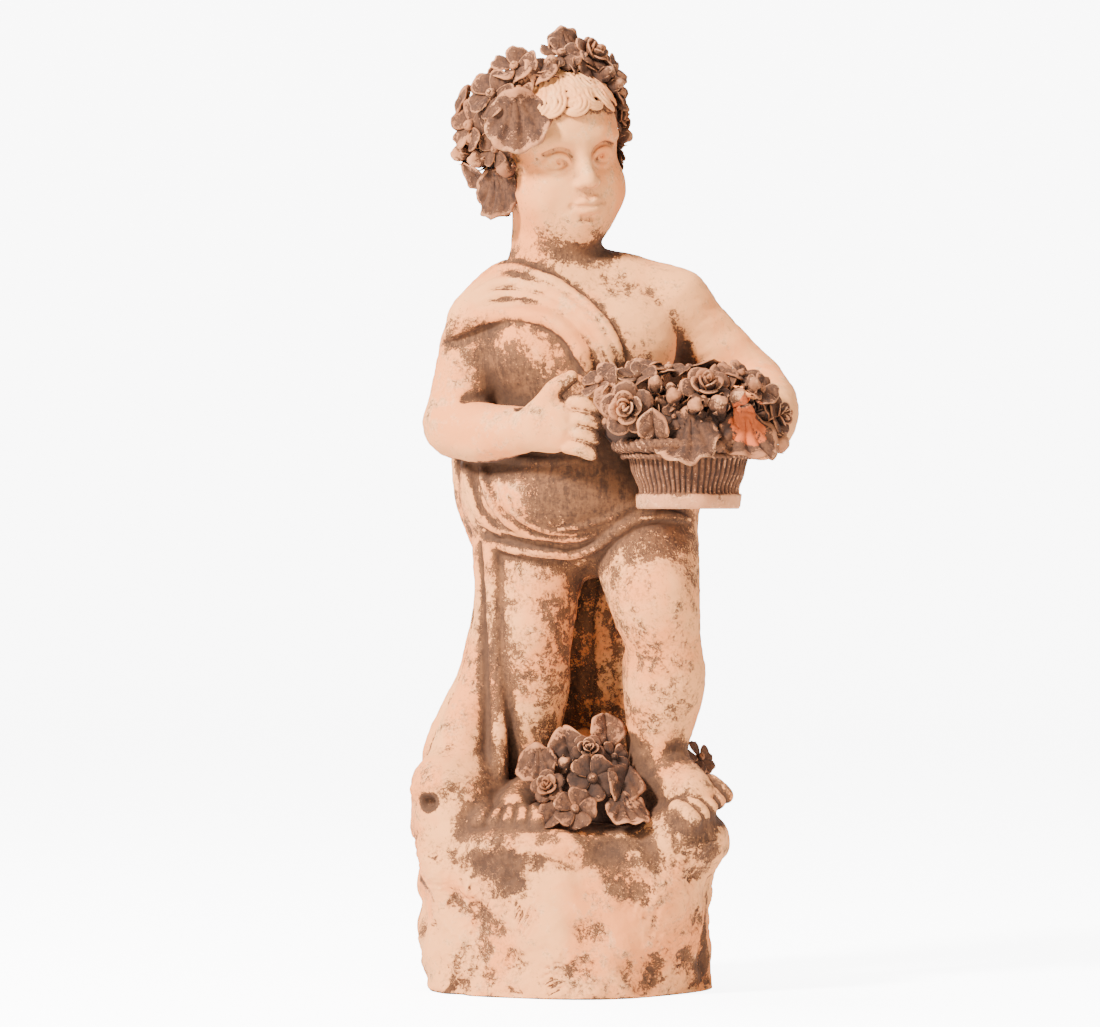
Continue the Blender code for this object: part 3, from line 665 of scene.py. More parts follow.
    def press_digits(self, clay: ClayGrid, fan: tuple, count: int, blend: float) -> None:
        """Presses fingers or toes, spread evenly from the first to the last.

        Args:
            clay: the clay.
            fan: the first one's root and tip, the last one's root and tip, and the radius.
            count: how many there are.
            blend: the fillet's width where they meet the hand or foot.
        """
        first_root, first_tip, last_root, last_tip, radius = fan
        for share in np.linspace(0, 1, count):
            root = Vector(first_root).lerp(Vector(last_root), share)
            tip = Vector(first_tip).lerp(Vector(last_tip), share)
            joint = root.lerp(tip, 0.5) + Vector((0, -0.4, 0.15))
            stations = ((*root, radius), (*joint, radius), (*tip, radius * 0.94))
            clay.limb(self.frame, stations, blend=blend)


@dataclass
class Drapery:
    """His clothes, in figure units: the band over the shoulder, the tunic, its hem, and the cloak behind.

    The band's edges and the laid folds are places x and z, seen from the front, and each ridge of the band
    has a share from its upper edge to its lower. Both also have a thickness and a share that is sunk.
    """

    frame: Matrix = field(default_factory=lambda: STANCE.figure)
    band_upper: tuple = (
        (-15.6, 65), (-12.6, 68.7), (-8.4, 71.6), (-3.4, 70.4), (1, 67.6), (4.6, 63.9), (6.8, 59.6)
    )
    band_lower: tuple = (
        (-16.4, 62.4), (-13.8, 64.2), (-10, 65.4), (-5.6, 65.6), (-1.6, 64.2), (0.9, 61.6), (2.8, 57.6)
    )
    band_ridges: tuple = (
        (0, 0.85, 0.25), (0.13, 0.6, 0.45), (0.3, 1, 0.3), (0.44, 0.55, 0.55), (0.58, 0.9, 0.3),
        (0.72, 0.55, 0.5), (0.85, 0.85, 0.3), (1, 1.1, 0.2),
    )
    blouse: tuple = (
        ((0, -1.9, 42.6), (12.2, 10.2, 7.2)),
        ((7, -1.6, 43), (10.4, 9, 6.4)),
        ((-8.8, 1.4, 44), (5.6, 6.4, 8.6)),
        ((1.6, 0.4, 38.8), (13.2, 9.4, 5)),
    )
    laid_folds: tuple = (
        (
            (
                (-11.8, 37), (-8.1, 35.7), (-2.3, 35), (0.4, 34.9), (3.3, 35.9), (7.5, 38.7), (11, 39.9),
                (15.4, 39.2),
            ),
            0.85,
            0.1,
        ),
        (((-11.9, 38.8), (-6.4, 37.5), (-1.4, 36.8), (2, 37), (4.6, 38.6), (7.4, 40.6)), 0.5, 0.5),
        (((-13.4, 47.6), (-12.8, 43.6), (-11.4, 40), (-8.8, 37.4)), 0.95, 0.4),
        (((-11.4, 47.6), (-10.6, 43), (-8.4, 39.4), (-4.6, 37)), 0.7, 0.5),
        (((-9, 44.6), (-7.6, 40.8), (-4.2, 38.2), (0.6, 37.4)), 0.5, 0.6),
        (((10.6, 43.6), (7.2, 41), (3.4, 39), (-1.4, 38)), 0.55, 0.55),
        (((11.6, 41.6), (8.6, 40.2), (5.4, 38), (3.4, 36.8)), 0.6, 0.5),
        (((-13, 50), (-9.6, 47.4), (-4, 46.6), (1, 46.8)), 0.6, 0.6),
    )
    sleeve: Run = ((-13.4, 2.6, 65, 2.6), (-15, 3.6, 60.6, 2.2), (-13.6, 5.2, 54, 2.8))
    leg_fold: Run = (
        (-9.9, -2.6, 35.8, 1.4), (-9.7, -3, 27, 1.1), (-9.4, -2.8, 18, 1.1), (-9.3, -3.6, 9, 1.3),
        (-9.6, -5, 1, 1.7),
    )
    side_fold: Run = (
        (-11, 0.6, 36.4, 1.8), (-10.8, 0.2, 27, 1.7), (-12, -0.4, 18, 2.4), (-14, -1.6, 10.4, 3.6),
        (-14.6, -2.6, 3, 5),
    )
    cloak_left: Run = (
        (-12.6, 3.6, 67.4, 2), (-12.8, 5.4, 55, 2.6), (-12.4, 4.2, 43, 2.8), (-10.2, 3.4, 35, 2.4),
        (-10.4, 3.4, 27, 2.4), (-12.2, 3, 18, 2.8), (-15.6, 2, 10, 3.2), (-16.2, 0.8, 0, 4.2),
    )
    cloak_right: Run = (
        (1.4, 5, 71, 1.8), (6.4, 6.6, 58, 2.4), (12, 5.8, 44, 2.8), (10, 5.4, 35, 2.6), (8.6, 5.4, 27, 2.6),
        (8.8, 6.4, 18, 2.8), (10, 7.6, 10, 3.2), (11.4, 8.4, 0, 3.8),
    )
    cloak_edge: Run = (
        (-13.6, 2.4, 67, 1.6), (-8.4, 4.6, 71.6, 1.6), (-1, 7.2, 71, 1.5), (5, 9, 62.4, 1.5),
        (9.6, 9, 52.4, 1.5), (13.4, 6.6, 42, 1.6),
    )
    lay_box: tuple = ((-0.13, -0.12, 0.30), (0.13, 0.08, 0.60), 0.003, 0.01)
    cloak_folds: int = 7
    cloak_bulge: float = 2.8
    cloak_wave: float = 0.8
    runs: list = field(default_factory=list)

    def lay(self, boy: Boy) -> None:
        """Lays the band and the tunic's folds on coarse models of the boy, so that they follow his body."""
        whole, trunk = ClayGrid(*self.lay_box), ClayGrid(*self.lay_box)
        boy.press(whole)
        boy.press_trunk(trunk)
        for limb in (boy.right_leg, boy.left_leg):
            trunk.limb(self.frame, limb, blend=1.6)
        for centre, radii in self.blouse:
            trunk.ball(self.frame, centre, radii, blend=1.4)
        upper, lower = np.array(self.band_upper), np.array(self.band_lower)
        for share, thick, sunk in self.band_ridges:
            self.runs.append(self.laid(whole, upper * (1 - share) + lower * share, thick, sunk))
        for places, thick, sunk in self.laid_folds:
            self.runs.append(self.laid(trunk, places, thick, sunk))

    def laid(self, body: ClayGrid, places: Sequence, thick: float, sunk: float) -> Array:
        """Lays one fold on the body and tapers its ends.

        Args:
            body: the clay to lay it on.
            places: x and z along the fold, seen from the front.
            thick: its radius.
            sunk: how much of it lies in the body, from 0 to 1.

        Returns:
            Rows of x, y, z and radius.
        """
        run = smooth_run(places, 4)
        scale = self.frame.to_scale()[0]
        starts = placed(self.frame, np.column_stack([run[:, 0], 0 * run[:, 0], run[:, 1]]))
        starts[:, 1] = body.low[1]
        ways = np.tile([0.0, 1.0, 0.0], (len(run), 1))
        depth = np.minimum((body.low[1] + body.felt(starts, ways, 0.2)) / scale, 1.0)
        held = np.concatenate([depth[:1], depth, depth[-1:]])
        depth = (held[:-2] + 2 * depth + held[2:]) / 4
        from_end = np.minimum(np.arange(len(run)), np.arange(len(run))[::-1])
        radius = thick * np.clip(from_end / 4 + 0.35, 0, 1)
        return np.column_stack([run[:, 0], depth - radius * (1 - 2 * sunk) * 0.6, run[:, 1], radius])

    def press(self, clay: ClayGrid) -> None:
        """Presses all his clothes into the clay."""
        for centre, radii in self.blouse:
            clay.ball(self.frame, centre, radii, blend=1.4)
        clay.limb(self.frame, self.sleeve, blend=1.0)
        clay.limb(self.frame, self.leg_fold, blend=0.6)
        clay.limb(self.frame, self.side_fold, blend=1.0)
        self.press_cloak(clay)
        for run in self.runs:
            clay.limb(self.frame, run, blend=0.4, steps=2)

    def press_cloak(self, clay: ClayGrid) -> None:
        """Presses the cloak as long folds, spread between its two edges, and rolls its upper edge."""
        for share in np.linspace(0, 1, self.cloak_folds):
            fold = np.array(self.cloak_left) * (1 - share) + np.array(self.cloak_right) * share
            wave = self.cloak_wave * math.cos(9 * share + 1)
            fold[:, 1] += self.cloak_bulge * math.sin(math.pi * share) + wave
            clay.limb(self.frame, fold, blend=0.8)
        clay.limb(self.frame, self.cloak_edge, blend=0.7)


@dataclass
class Mound:
    """The rough mound under his feet, with stones, dents, valleys and a knot, in tenths of its top radius.

    How far its side swells, its fillets, and four times the fall of its top at the rim are in metres. Stones
    and dents are centres and radii, and valleys are rows of x, y, z and radius.
    """

    frame: Matrix = field(default_factory=lambda: STANCE.mound)
    relief: float = 0.0046
    edge: float = 0.004
    slump: float = 0.056
    lid_round: float = 0.03
    stones: tuple = (
        ((-7.7, -1.6, 0.5), (3.1, 4, 4.2)),
        ((-8.9, -2.9, 2.8), (1.8, 2.2, 1.8)),
        ((-7.9, -2.3, -2.6), (2.5, 3.5, 3.7)),
        ((0.5, 2.4, 3.5), (2.6, 2.3, 2.9)),
        ((7.2, -3.2, -0.9), (3.4, 4.5, 2.2)),
        ((7.4, -5, -0.9), (3, 3.6, 2.2)),
        ((-1.1, -5.1, -1.2), (5.8, 4.2, 1.5)),
        ((1.1, 3.2, -1.3), (7.4, 6.3, 1.9)),
    )
    dents: tuple = (
        ((5.4, -10, -3.3), (2.8, 1.1, 1.2)),
        ((10.9, -1.8, -5.8), (0.8, 1.6, 1.4)),
        ((-0.7, -11.6, -2.6), (3, 0.9, 0.8)),
        ((6.4, -8.8, -9), (2, 1.1, 1.4)),
        ((-3.6, -10.5, -6), (1.6, 1, 2.2)),
        ((1.6, -10.9, -8.2), (2.6, 0.9, 1.6)),
        ((-10.6, -2.2, -5.8), (1, 2.4, 1.6)),
        ((8.8, 4.8, -4), (1.4, 1.6, 2)),
        ((-4, 9.8, -5.4), (2.4, 1.2, 1.6)),
        ((3.4, 9.8, -8), (2, 1, 1.4)),
    )
    valleys: tuple[Run, ...] = (
        ((-6, -8.9, -0.9, 0.3), (-6.3, -8.3, -3.4, 0.45), (-7.1, -7, -7, 0.45), (-7.8, -5.6, -11.8, 0.3)),
        ((-5.6, -9.4, -1, 0.2), (-1, -10.8, -1.5, 0.3), (3.4, -10.4, -1.2, 0.2)),
        ((9.8, -3.2, -2.4, 0.2), (9.6, -4, -6, 0.3), (9.1, -3.2, -9.6, 0.3)),
    )
    knot: tuple[Triple, Triple] = ((-9.6, -4.9, 1.5), (0.6, 0.8, 0.5))
    knot_lip: Run = ((-10.5, -3.6, 2.3, 0.35), (-9.4, -4.6, 2.7, 0.45), (-8.2, -4.9, 2.9, 0.3))

    def press(self, clay: ClayGrid) -> None:
        """Presses the mound.

        Its distance is the distance from its axis less a radius that grows with height and ripples with angle
        and height, then the smooth greater of that and the height above its top, which slumps at its edge.
        """
        height, foot, top = STANCE.mound_height, STANCE.mound_foot, STANCE.mound_top
        spread = top + self.relief * 3 + clay.reach
        window = clay.window((-spread, -spread, -spread), (spread, spread, height + clay.reach))
        if window is not None:
            x, y, z = clay.across(window)
            angle = np.arctan2(y, x)
            level = np.clip(z / height, 0, 1)
            ripples = (
                0.9 * np.sin(2 * angle + 1.1 + 2.0 * level)
                + 0.7 * np.sin(3 * angle - 0.6 - 3.4 * level)
                + 0.6 * np.sin(5 * angle + 2.0 + 5.2 * level)
            )
            side = np.hypot(x, y) - (foot + (top - foot) * level**1.5 + self.relief * ripples)
            fall = np.clip(np.hypot(x, y) / top - 0.5, 0, 1) ** 2 * (1 + 0.6 * np.sin(3 * angle + 0.5))
            lid = z - height + self.slump * fall
            fillet = np.maximum(self.lid_round - np.abs(side - lid), 0)
            rounded = np.maximum(side, lid) + fillet * fillet / (4 * self.lid_round)
            clay.merge(window, rounded, self.edge, Touch.PRESS)
        for centre, radii in self.stones:
            clay.ball(self.frame, centre, radii, blend=1.0)
        for centre, radii in self.dents:
            clay.ball(self.frame, centre, radii, blend=1.2, how=Touch.CARVE)
        for valley in self.valleys:
            clay.limb(self.frame, valley, blend=1.2, how=Touch.CARVE)
        clay.limb(self.frame, self.knot_lip, blend=0.5)
        clay.ball(self.frame, *self.knot, blend=0.4, how=Touch.CARVE)


@dataclass
class Head:
    """His head, in the head's units: the soft full face of any small child, his ears, and short curls.

    Skull rows hold an egg's centre, radii and blend. Lock rows hold elevation, first and last bearing in
    degrees, count and length, and each strand of a lock lies so far aside and stands so proud.
    """

    frame: Matrix = field(default_factory=lambda: STANCE.head)
    skull: tuple = (
        ((0, 1.6, 2.6), (7.4, 8.4, 7.5), 1),
        ((0, -1.4, -2.6), (6.4, 6, 7.4), 2),
        ((0, -2.6, 2.8), (6.3, 5.5, 5.2), 2),
        ((3.4, -3.7, -4.7), (3.1, 3.1, 3.2), 2.4),
        ((-3.4, -3.7, -4.7), (3.1, 3.1, 3.2), 2.4),
        ((0, -5, -8.8), (2.2, 2, 1.8), 2.2),
        ((0, -1.6, -7.8), (5, 5, 3.2), 2),
        ((0, -6.1, -6), (2.4, 1.5, 1.9), 2.2),
    )
    middle: Triple = (0, 1, 1.8)
    lock_rows: tuple = (
        (58, -62, 62, 9, 4.6), (47, -34, 40, 6, 4), (40, -34, 44, 6, 4.2), (80, 0, 300, 6, 4.4),
        (62, 84, 276, 9, 4.6), (40, 78, 282, 12, 4.6), (18, 92, 268, 13, 4.6), (-2, 104, 256, 12, 4.2),
        (-20, 122, 238, 10, 3.6),
    )
    strands: tuple = ((-0.95, 0.02), (-0.32, 0.17), (0.32, 0.2), (0.95, 0.04))
    hair_cap: tuple = ((0, 2.5, 3.1), (7.55, 8.3, 7.6))
    lay_box: tuple = ((-0.082, -0.078, 0.560), (0.056, 0.092, 0.742), 0.002, 0.01)
    lock_points: int = 9
    mean_radius: float = 8.0
    farthest: float = 0.09
    runs: list = field(default_factory=list)

    def lay(self) -> None:
        """Lays rows of hooked locks on a coarse model of the skull, leaving the face free."""
        skull = ClayGrid(*self.lay_box)
        for centre, radii, blend in self.skull:
            skull.ball(self.frame, centre, radii, blend=blend)
        draw = np.random.default_rng(5)
        for lift, first, last, count, length in self.lock_rows:
            for k, round_ in enumerate(np.linspace(first, last, count)):
                side = (1 if k % 3 else -1) if first >= 0 else (1 if round_ > 0 else -1)
                jitter = draw.uniform(-1, 1, 4)
                spot = (round_ + 3 * jitter[0], lift + 3 * jitter[1])
                self.lay_lock(skull, spot, side, length * (1 + 0.14 * jitter[2]), 3.3 + 0.5 * jitter[3])

    def lay_lock(
        self, skull: ClayGrid, spot: tuple[float, float], side: int, length: float, turn: float
    ) -> None:
        """Lays one lock: a core and four strands that run down from its root and hook at the tip.

        Its heading turns from straight down by -0.5 + turn * s^1.6 radians, where s is the share of its
        length. Each place across and down is a direction from the head's middle, and the skull is felt there.

        Args:
            skull: the clay to lay it on.
            spot: the root's bearing from the face and its elevation, in degrees.
            side: 1 or -1, the way that it hooks.
            length: its length.
            turn: how far it hooks, in radians.
        """
        share = np.linspace(0, 1, self.lock_points)
        heading = -0.5 + turn * share**1.6
        pace = length / (self.lock_points - 1)
        across = np.concatenate([[0], np.cumsum(np.sin(heading[:-1]) * pace)]) * side
        down = np.concatenate([[0], np.cumsum(np.cos(heading[:-1]) * pace)])
        bearing, lift = (math.radians(a) for a in spot)
        level = np.array([math.sin(bearing), -math.cos(bearing), 0])
        upright = np.array([0, 0, 1])
        out = math.cos(lift) * level + math.sin(lift) * upright
        east = np.array([math.cos(bearing), math.sin(bearing), 0])
        south = math.sin(lift) * level - math.cos(lift) * upright
        scale = self.frame.to_scale()[0]
        for aside, proud, thick in ((0.0, -0.55, 0.80), *((a, p + 0.32, 0.31) for a, p in self.strands)):
            fade = aside * (1 - 0.66 * share)
            a = across + fade * np.cos(heading) * side
            b = down - fade * np.sin(heading)
            ways = out + (a[:, None] * east + b[:, None] * south) / self.mean_radius
            ways /= np.linalg.norm(ways, axis=1, keepdims=True)
            centre = np.array(self.frame @ Vector(self.middle))
            lines = placed(self.frame, ways + self.middle) - centre
            starts = np.tile(centre, (self.lock_points, 1))
            reach = skull.felt(starts, lines / scale, self.farthest) / scale
            far = reach + proud * (1 - 0.5 * share) + 0.35 * np.sin(np.pi * share)
            points = np.array(self.middle) + ways * far[:, None]
            self.runs.append(np.column_stack([points, thick * (1 - 0.5 * share)]))

    def press(self, clay: ClayGrid) -> None:
        """Presses the whole head into the clay."""
        for centre, radii, blend in self.skull:
            clay.ball(self.frame, centre, radii, blend=blend)
        for side in (-1, 1):
            self.press_eye(clay, side)
            self.press_ear(clay, side)
        self.press_nose(clay)
        self.press_mouth(clay)
        self.press_locks(clay)

    def press_eye(self, clay: ClayGrid, side: int) -> None:
        """Hollows one socket and sets the eyeball, its lids, a drilled pupil and the brow in it."""
        frame = self.frame
        brow = ((1.3, -7.4, 1.7, 0.4), (2.9, -7.2, 2.2, 0.5), (4.9, -6, 1.7, 0.4))
        upper = (
            (1.3, -6.65, -0.95, 0.2), (2, -6.85, -0.05, 0.34), (2.95, -6.8, 0.3, 0.4), (3.9, -6.3, 0, 0.36),
            (4.65, -5.65, -0.75, 0.22),
        )
        lower = (
            (1.4, -6.6, -1.05, 0.16), (2.1, -6.65, -1.5, 0.24), (3, -6.6, -1.68, 0.26),
            (3.85, -6.15, -1.45, 0.24), (4.5, -5.6, -0.9, 0.16),
        )
        crease = ((1.7, -7.1, 0.75, 0.12), (3, -7.05, 1.1, 0.2), (4.5, -6.2, 0.6, 0.12))
        clay.limb(frame, sided(side, brow), blend=1.4)
        clay.ball(frame, (side * 2.95, -8.3, -0.5), (2.3, 2.2, 1.7), blend=0.9, how=Touch.CARVE)
        clay.ball(frame, (side * 2.95, -5.0, -0.6), (1.75, 1.75, 1.6), blend=0.3)
        clay.limb(frame, sided(side, upper), blend=0.3)
        clay.limb(frame, sided(side, lower), blend=0.35)
        clay.limb(frame, sided(side, crease), blend=0.35, how=Touch.CARVE)
        clay.ball(frame, (side * 2.8, -6.85, -0.5), (0.34, 0.42, 0.34), blend=0.08, how=Touch.CARVE)

    def press_nose(self, clay: ClayGrid) -> None:
        """Presses the bridge, the round tip and the wings, and bores the nostrils."""
        bridge = ((0, -7.5, 1.6, 0.6), (0, -7.6, -0.4, 0.62), (0, -8.2, -2.1, 0.74))
        clay.limb(self.frame, bridge, blend=1.1)
        clay.ball(self.frame, (0, -8.4, -2.95), (0.95, 0.95, 0.85), blend=0.8)
        for side in (-1, 1):
            clay.ball(self.frame, (side * 1.0, -7.8, -3.25), (0.62, 0.85, 0.58), blend=0.45)
            clay.ball(self.frame, (side * 0.5, -8.35, -3.85), (0.26, 0.42, 0.3), blend=0.15, how=Touch.CARVE)

    def press_mouth(self, clay: ClayGrid) -> None:
        """Presses two closed lips with the line between them, and the hollows above and below."""
        upper = ((-1.85, -7.5, -5.72, 0.16), (-0.85, -8.05, -5.34, 0.38), (0, -8.15, -5.48, 0.33))
        lower = ((-1.5, -7.6, -6.1, 0.22), (-0.6, -7.95, -6.48, 0.5))
        line = ((-2, -7.75, -5.78, 0.14), (-0.8, -8.4, -5.84, 0.13), (0, -8.5, -5.96, 0.14))
        clay.limb(self.frame, mirrored(upper), blend=0.45)
        clay.limb(self.frame, mirrored(lower), blend=0.45)
        clay.limb(self.frame, mirrored(line), blend=0.18, how=Touch.CARVE)
        clay.limb(self.frame, ((0, -8.3, -4.2, 0.2), (0, -8.3, -4.9, 0.3)), blend=0.4, how=Touch.CARVE)
        clay.ball(self.frame, (0, -8.2, -7.4), (1.3, 0.7, 0.32), blend=0.6, how=Touch.CARVE)
        for side in (-1, 1):
            clay.ball(self.frame, (side * 2.2, -8.0, -5.8), (0.25, 0.5, 0.3), blend=0.5, how=Touch.CARVE)

    def press_ear(self, clay: ClayGrid, side: int) -> None:
        """Presses one ear: a flat shell, its rolled rim and its hollow."""
        clay.ball(self.frame, (side * 7.1, 0.8, -2.2), (0.9, 1.8, 2.4), (0, 0, side * 20), blend=0.6)
        rim = (
            (7, -0.6, -1.6, 0.3), (7.7, -0.2, 0, 0.35), (8.1, 1.4, 0.1, 0.38), (8, 2.4, -1.6, 0.35),
            (7.4, 1.2, -4, 0.45),
        )
        clay.limb(self.frame, sided(side, rim), blend=0.3)
        clay.ball(self.frame, (side * 8.0, 0.6, -2.2), (0.6, 0.8, 1.1), blend=0.4, how=Touch.CARVE)

    def press_locks(self, clay: ClayGrid) -> None:
        """Presses a thin cap of hair, then the strands of all the locks."""
        clay.ball(self.frame, *self.hair_cap, blend=0.4)
        for run in self.runs:
            clay.limb(self.frame, run, blend=0.06, steps=2)


@dataclass
class Scratches:
    """Groups of tool scratches on the mound and cloth: each one's start, run, spread, count and depth."""

    width: float = 0.0009
    groups: tuple = (
        ((-0.04, -0.104, 0.012), (0.024, 0, 0.013), (0.004, 0, -0.003), 5, 0.0011),
        ((-0.052, -0.098, 0.052), (0.01, 0, 0.022), (0.004, 0, -0.001), 6, 0.001),
        ((0.01, -0.112, 0.06), (0.026, 0, -0.008), (0.002, 0, 0.004), 4, 0.0008),
        ((0.06, -0.095, 0.03), (0.004, 0, 0.024), (0.004, 0, 0.001), 5, 0.0009),
        ((-0.09, -0.06, 0.095), (0.002, 0, -0.03), (0.004, 0, 0), 4, 0.001),
        ((0.05, 0.095, 0.05), (0.02, 0, 0.016), (0.003, 0, -0.004), 5, 0.001),
        ((-0.06, 0.09, 0.07), (0.014, 0, -0.02), (0.004, 0, 0.002), 4, 0.001),
        ((0.098, 0.02, 0.06), (0, 0.018, 0.016), (0, 0.003, -0.003), 5, 0.001),
    )

    def depth(self, points: Array) -> Array:
        """How deep the scratches are at rows of points: a bell of the distance to each scratch's line."""
        total = np.zeros(len(points))
        for start, run, spread, count, deep in self.groups:
            for k in range(count):
                a = np.array(start) + np.array(spread) * k
                way = np.array(run) * (1 - 0.12 * (k % 3))
                near = np.abs(points - (a + way / 2)).max(1) < 0.03
                away = points[near] - a
                t = np.clip(away @ way / (way @ way), 0, 1)
                gap = away - t[:, None] * way
                across = way / np.linalg.norm(way)
                gap[:, 1] *= 0.25 if abs(across[1]) < 0.5 else 1
                bell = deep * np.exp(-((np.linalg.norm(gap, axis=1) / self.width) ** 2))
                total[near] = np.maximum(total[near], bell)
        return total


@dataclass
class Statue:
    """The clay figure in three pieces, whose fields agree where the pieces meet.

    The joins are heights, and each piece runs on past them by the lap. A box is a field's lowest and highest
    corners. Places where the painted shade of hollows and creases is lightened, and patches where more wash
    is gone, or less below nought, are given by centre, radii and strength in figure units.
    """

    boy: Boy = field(default_factory=Boy)
    drapery: Drapery = field(default_factory=Drapery)
    mound: Mound = field(default_factory=Mound)
    head: Head = field(default_factory=Head)
    scratches: Scratches = field(default_factory=Scratches)
    neck_join: float = 0.5785
    mound_join: float = 0.1120
    join_lap: float = 0.010
    body_box: tuple[Triple, Triple] = ((-0.13, -0.155, 0.096), (0.182, 0.122, 0.596))
    mound_box: tuple[Triple, Triple] = ((-0.134, -0.136, -0.004), (0.134, 0.136, 0.128))
    head_box: tuple[Triple, Triple] = ((-0.082, -0.078, 0.566), (0.056, 0.092, 0.742))
    air_box: tuple[Triple, Triple] = ((-0.16, -0.2, -0.01), (0.22, 0.16, 0.78))
    # Places where the painted shade of hollows and creases is lightened: centre, radii and strength.
    shade_lightened: tuple = (
        ((1, -8, 85.5), (9.5, 7.5, 9.5), 0.62),
        ((3.5, 3, 22), (7, 6.5, 16), 0.6),
        ((0.5, -16.5, 51.5), (5, 4, 6), 0.35),
    )
    bare_patches: tuple = (
        ((1, -11, 42.5), (7.5, 5, 5), 0.85),
        ((-7.5, -9, 43), (3.5, 4, 4.5), -0.5),
        ((-5.5, -6, 58), (6.5, 6, 5.5), 0.6),
        ((-8.5, -4, 69), (7, 7, 3.2), -0.4),
        ((-0.5, -8, 66), (4, 5, 4), -0.35),
        ((4, -9, 61), (3, 4, 4), -0.25),
        ((1.5, -16, 51), (5, 4, 5), -0.35),
        ((4, -10, 44), (7, 5, 5), 0.3),
        ((-2, -3, 73.5), (6, 6, 3), 0.25),
        ((3.5, 4, 22), (7, 6, 17), 0.14),
        ((-9.3, -3, 20), (2.2, 3, 22), 0.3),
        ((11, -10, 36), (7, 6, 3.5), 0.25),
        ((12, -10, 21), (6, 4, 7), 0.04),
        ((-2, -4, 27), (3, 5, 12), 0.16),
        ((-7, -8, 2), (6, 8, 4), 0.22),
        ((13, -8, 4), (7, 8, 4), 0.12),
        ((-13, -2, 64.5), (4.5, 5, 1.8), 0.4),
        ((1.5, -7, 85.5), (8, 6, 9), -0.3),
        ((-15, -3, 53), (6, 7, 7), -0.34),
        ((-7, -11, 51), (8, 7, 5), -0.4),
        ((24, -4, 56), (9, 12, 9), -0.3),
        ((12, -2, 66), (9, 9, 6), -0.16),
        ((-5, -4, 29), (3, 5, 7), -0.1),
        ((0, 0, -11), (22, 22, 9.5), -0.6),
        ((-16, -2, 10), (5, 6, 12), -0.14),
        ((2, -4, 26), (14, 14, 22), 0.06),
        ((7, -8, 58), (4, 6, 5), 0.12),
        ((8, -18, -8), (4, 3, 3), 0.55),
        ((15, -14, -13), (4, 4, 5), 0.25),
        ((-8, -17, -13), (4, 3, 5), 0.2),
        ((14, -10, -4), (6, 6, 2), 0.16),
    )

    # Painted shade: creases count as hollow and as bare clay, which darkens them.
    crease_hollow: float = 0.75
    crease_shade_bareness: float = 0.90
    # Painted highlight: ridges are made less bare, so they keep more of the pale wash.
    ridge_highlight_weight: float = -0.55

    def __post_init__(self) -> None:
        """Lays the clothes on the boy and the curls on his head."""
        self.drapery.lay(self.boy)
        self.head.lay()

    @staticmethod
    def press(clay: ClayGrid, *parts: Boy | Drapery | Mound | Head) -> None:
        """Presses parts of the statue into the clay, one after the other."""
        for part in parts:
            part.press(clay)

    def air(self) -> ClayGrid:
        """A coarse field of the whole statue, which tells how shut in a place is."""
        air = ClayGrid(*self.air_box, SIZES.air_step, SIZES.air_reach)
        self.press(air, self.boy, self.drapery, self.mound, self.head)
        air.limb(Matrix.Identity(4), self.basket_block(), blend=0.002)
        air.ball(STANCE.basket_top, (0, 0, 1.4), (11.6, 9.4, 6))
        air.ball(STANCE.figure, (2.4, -8.8, 4.4), (7, 6, 6))
        return air

    @staticmethod
    def basket_block() -> list[Station]:
        """A stout limb that stands for the basket in the coarse field."""
        x, y, z = STANCE.basket.translation
        return [(x, y, z + 0.038, 0.038), (x, y, z + 0.040, 0.044)]

    def body_piece(self) -> Thing:
        """The body and clothes as one mesh."""
        clay = ClayGrid(*self.body_box, SIZES.body_step, SIZES.reach)
        self.press(clay, self.boy, self.drapery, self.mound, self.head)
        clay.trim(self.neck_join, True, self.join_lap)
        clay.trim(self.mound_join, False, self.join_lap)
        return self.worked("boy_and_cloak", clay, 1.0, SIZES.body_triangles)

    def mound_piece(self) -> Thing:
        """The mound as one mesh."""
        clay = ClayGrid(*self.mound_box, SIZES.mound_step, SIZES.reach)
        self.press(clay, self.boy, self.drapery, self.mound)
        np.maximum(clay.field, -clay.lines[2][None, None, :], out=clay.field)
        clay.trim(self.mound_join, True, self.join_lap)
        return self.worked("mound", clay, 1.0, SIZES.mound_triangles)

    def head_piece(self) -> Thing:
        """The head with its curls as one mesh."""
        clay = ClayGrid(*self.head_box, SIZES.head_step, SIZES.head_reach)
        self.press(clay, self.boy, self.drapery, self.head)
        clay.trim(self.neck_join, False, self.join_lap)
        return self.worked("head_and_curls", clay, 0.45, SIZES.head_triangles)

    def worked(self, name: str, clay: ClayGrid, thumbed: float, triangles: int) -> Thing:
        """Makes the clay's skin a mesh, roughens it, thins it and writes how it bends."""
        thing = mesh_from(name, *clay.skin())
        self.roughen(thing.data, thumbed)
        kept = thinned(thing, triangles)
        points, normals = read_rows(kept.data, "co"), read_rows(kept.data, "normal")
        write_values(kept.data, "crease", bent(clay, points, normals, 1))
        write_values(kept.data, "ridge", bent(clay, points, normals, -1))
        return kept

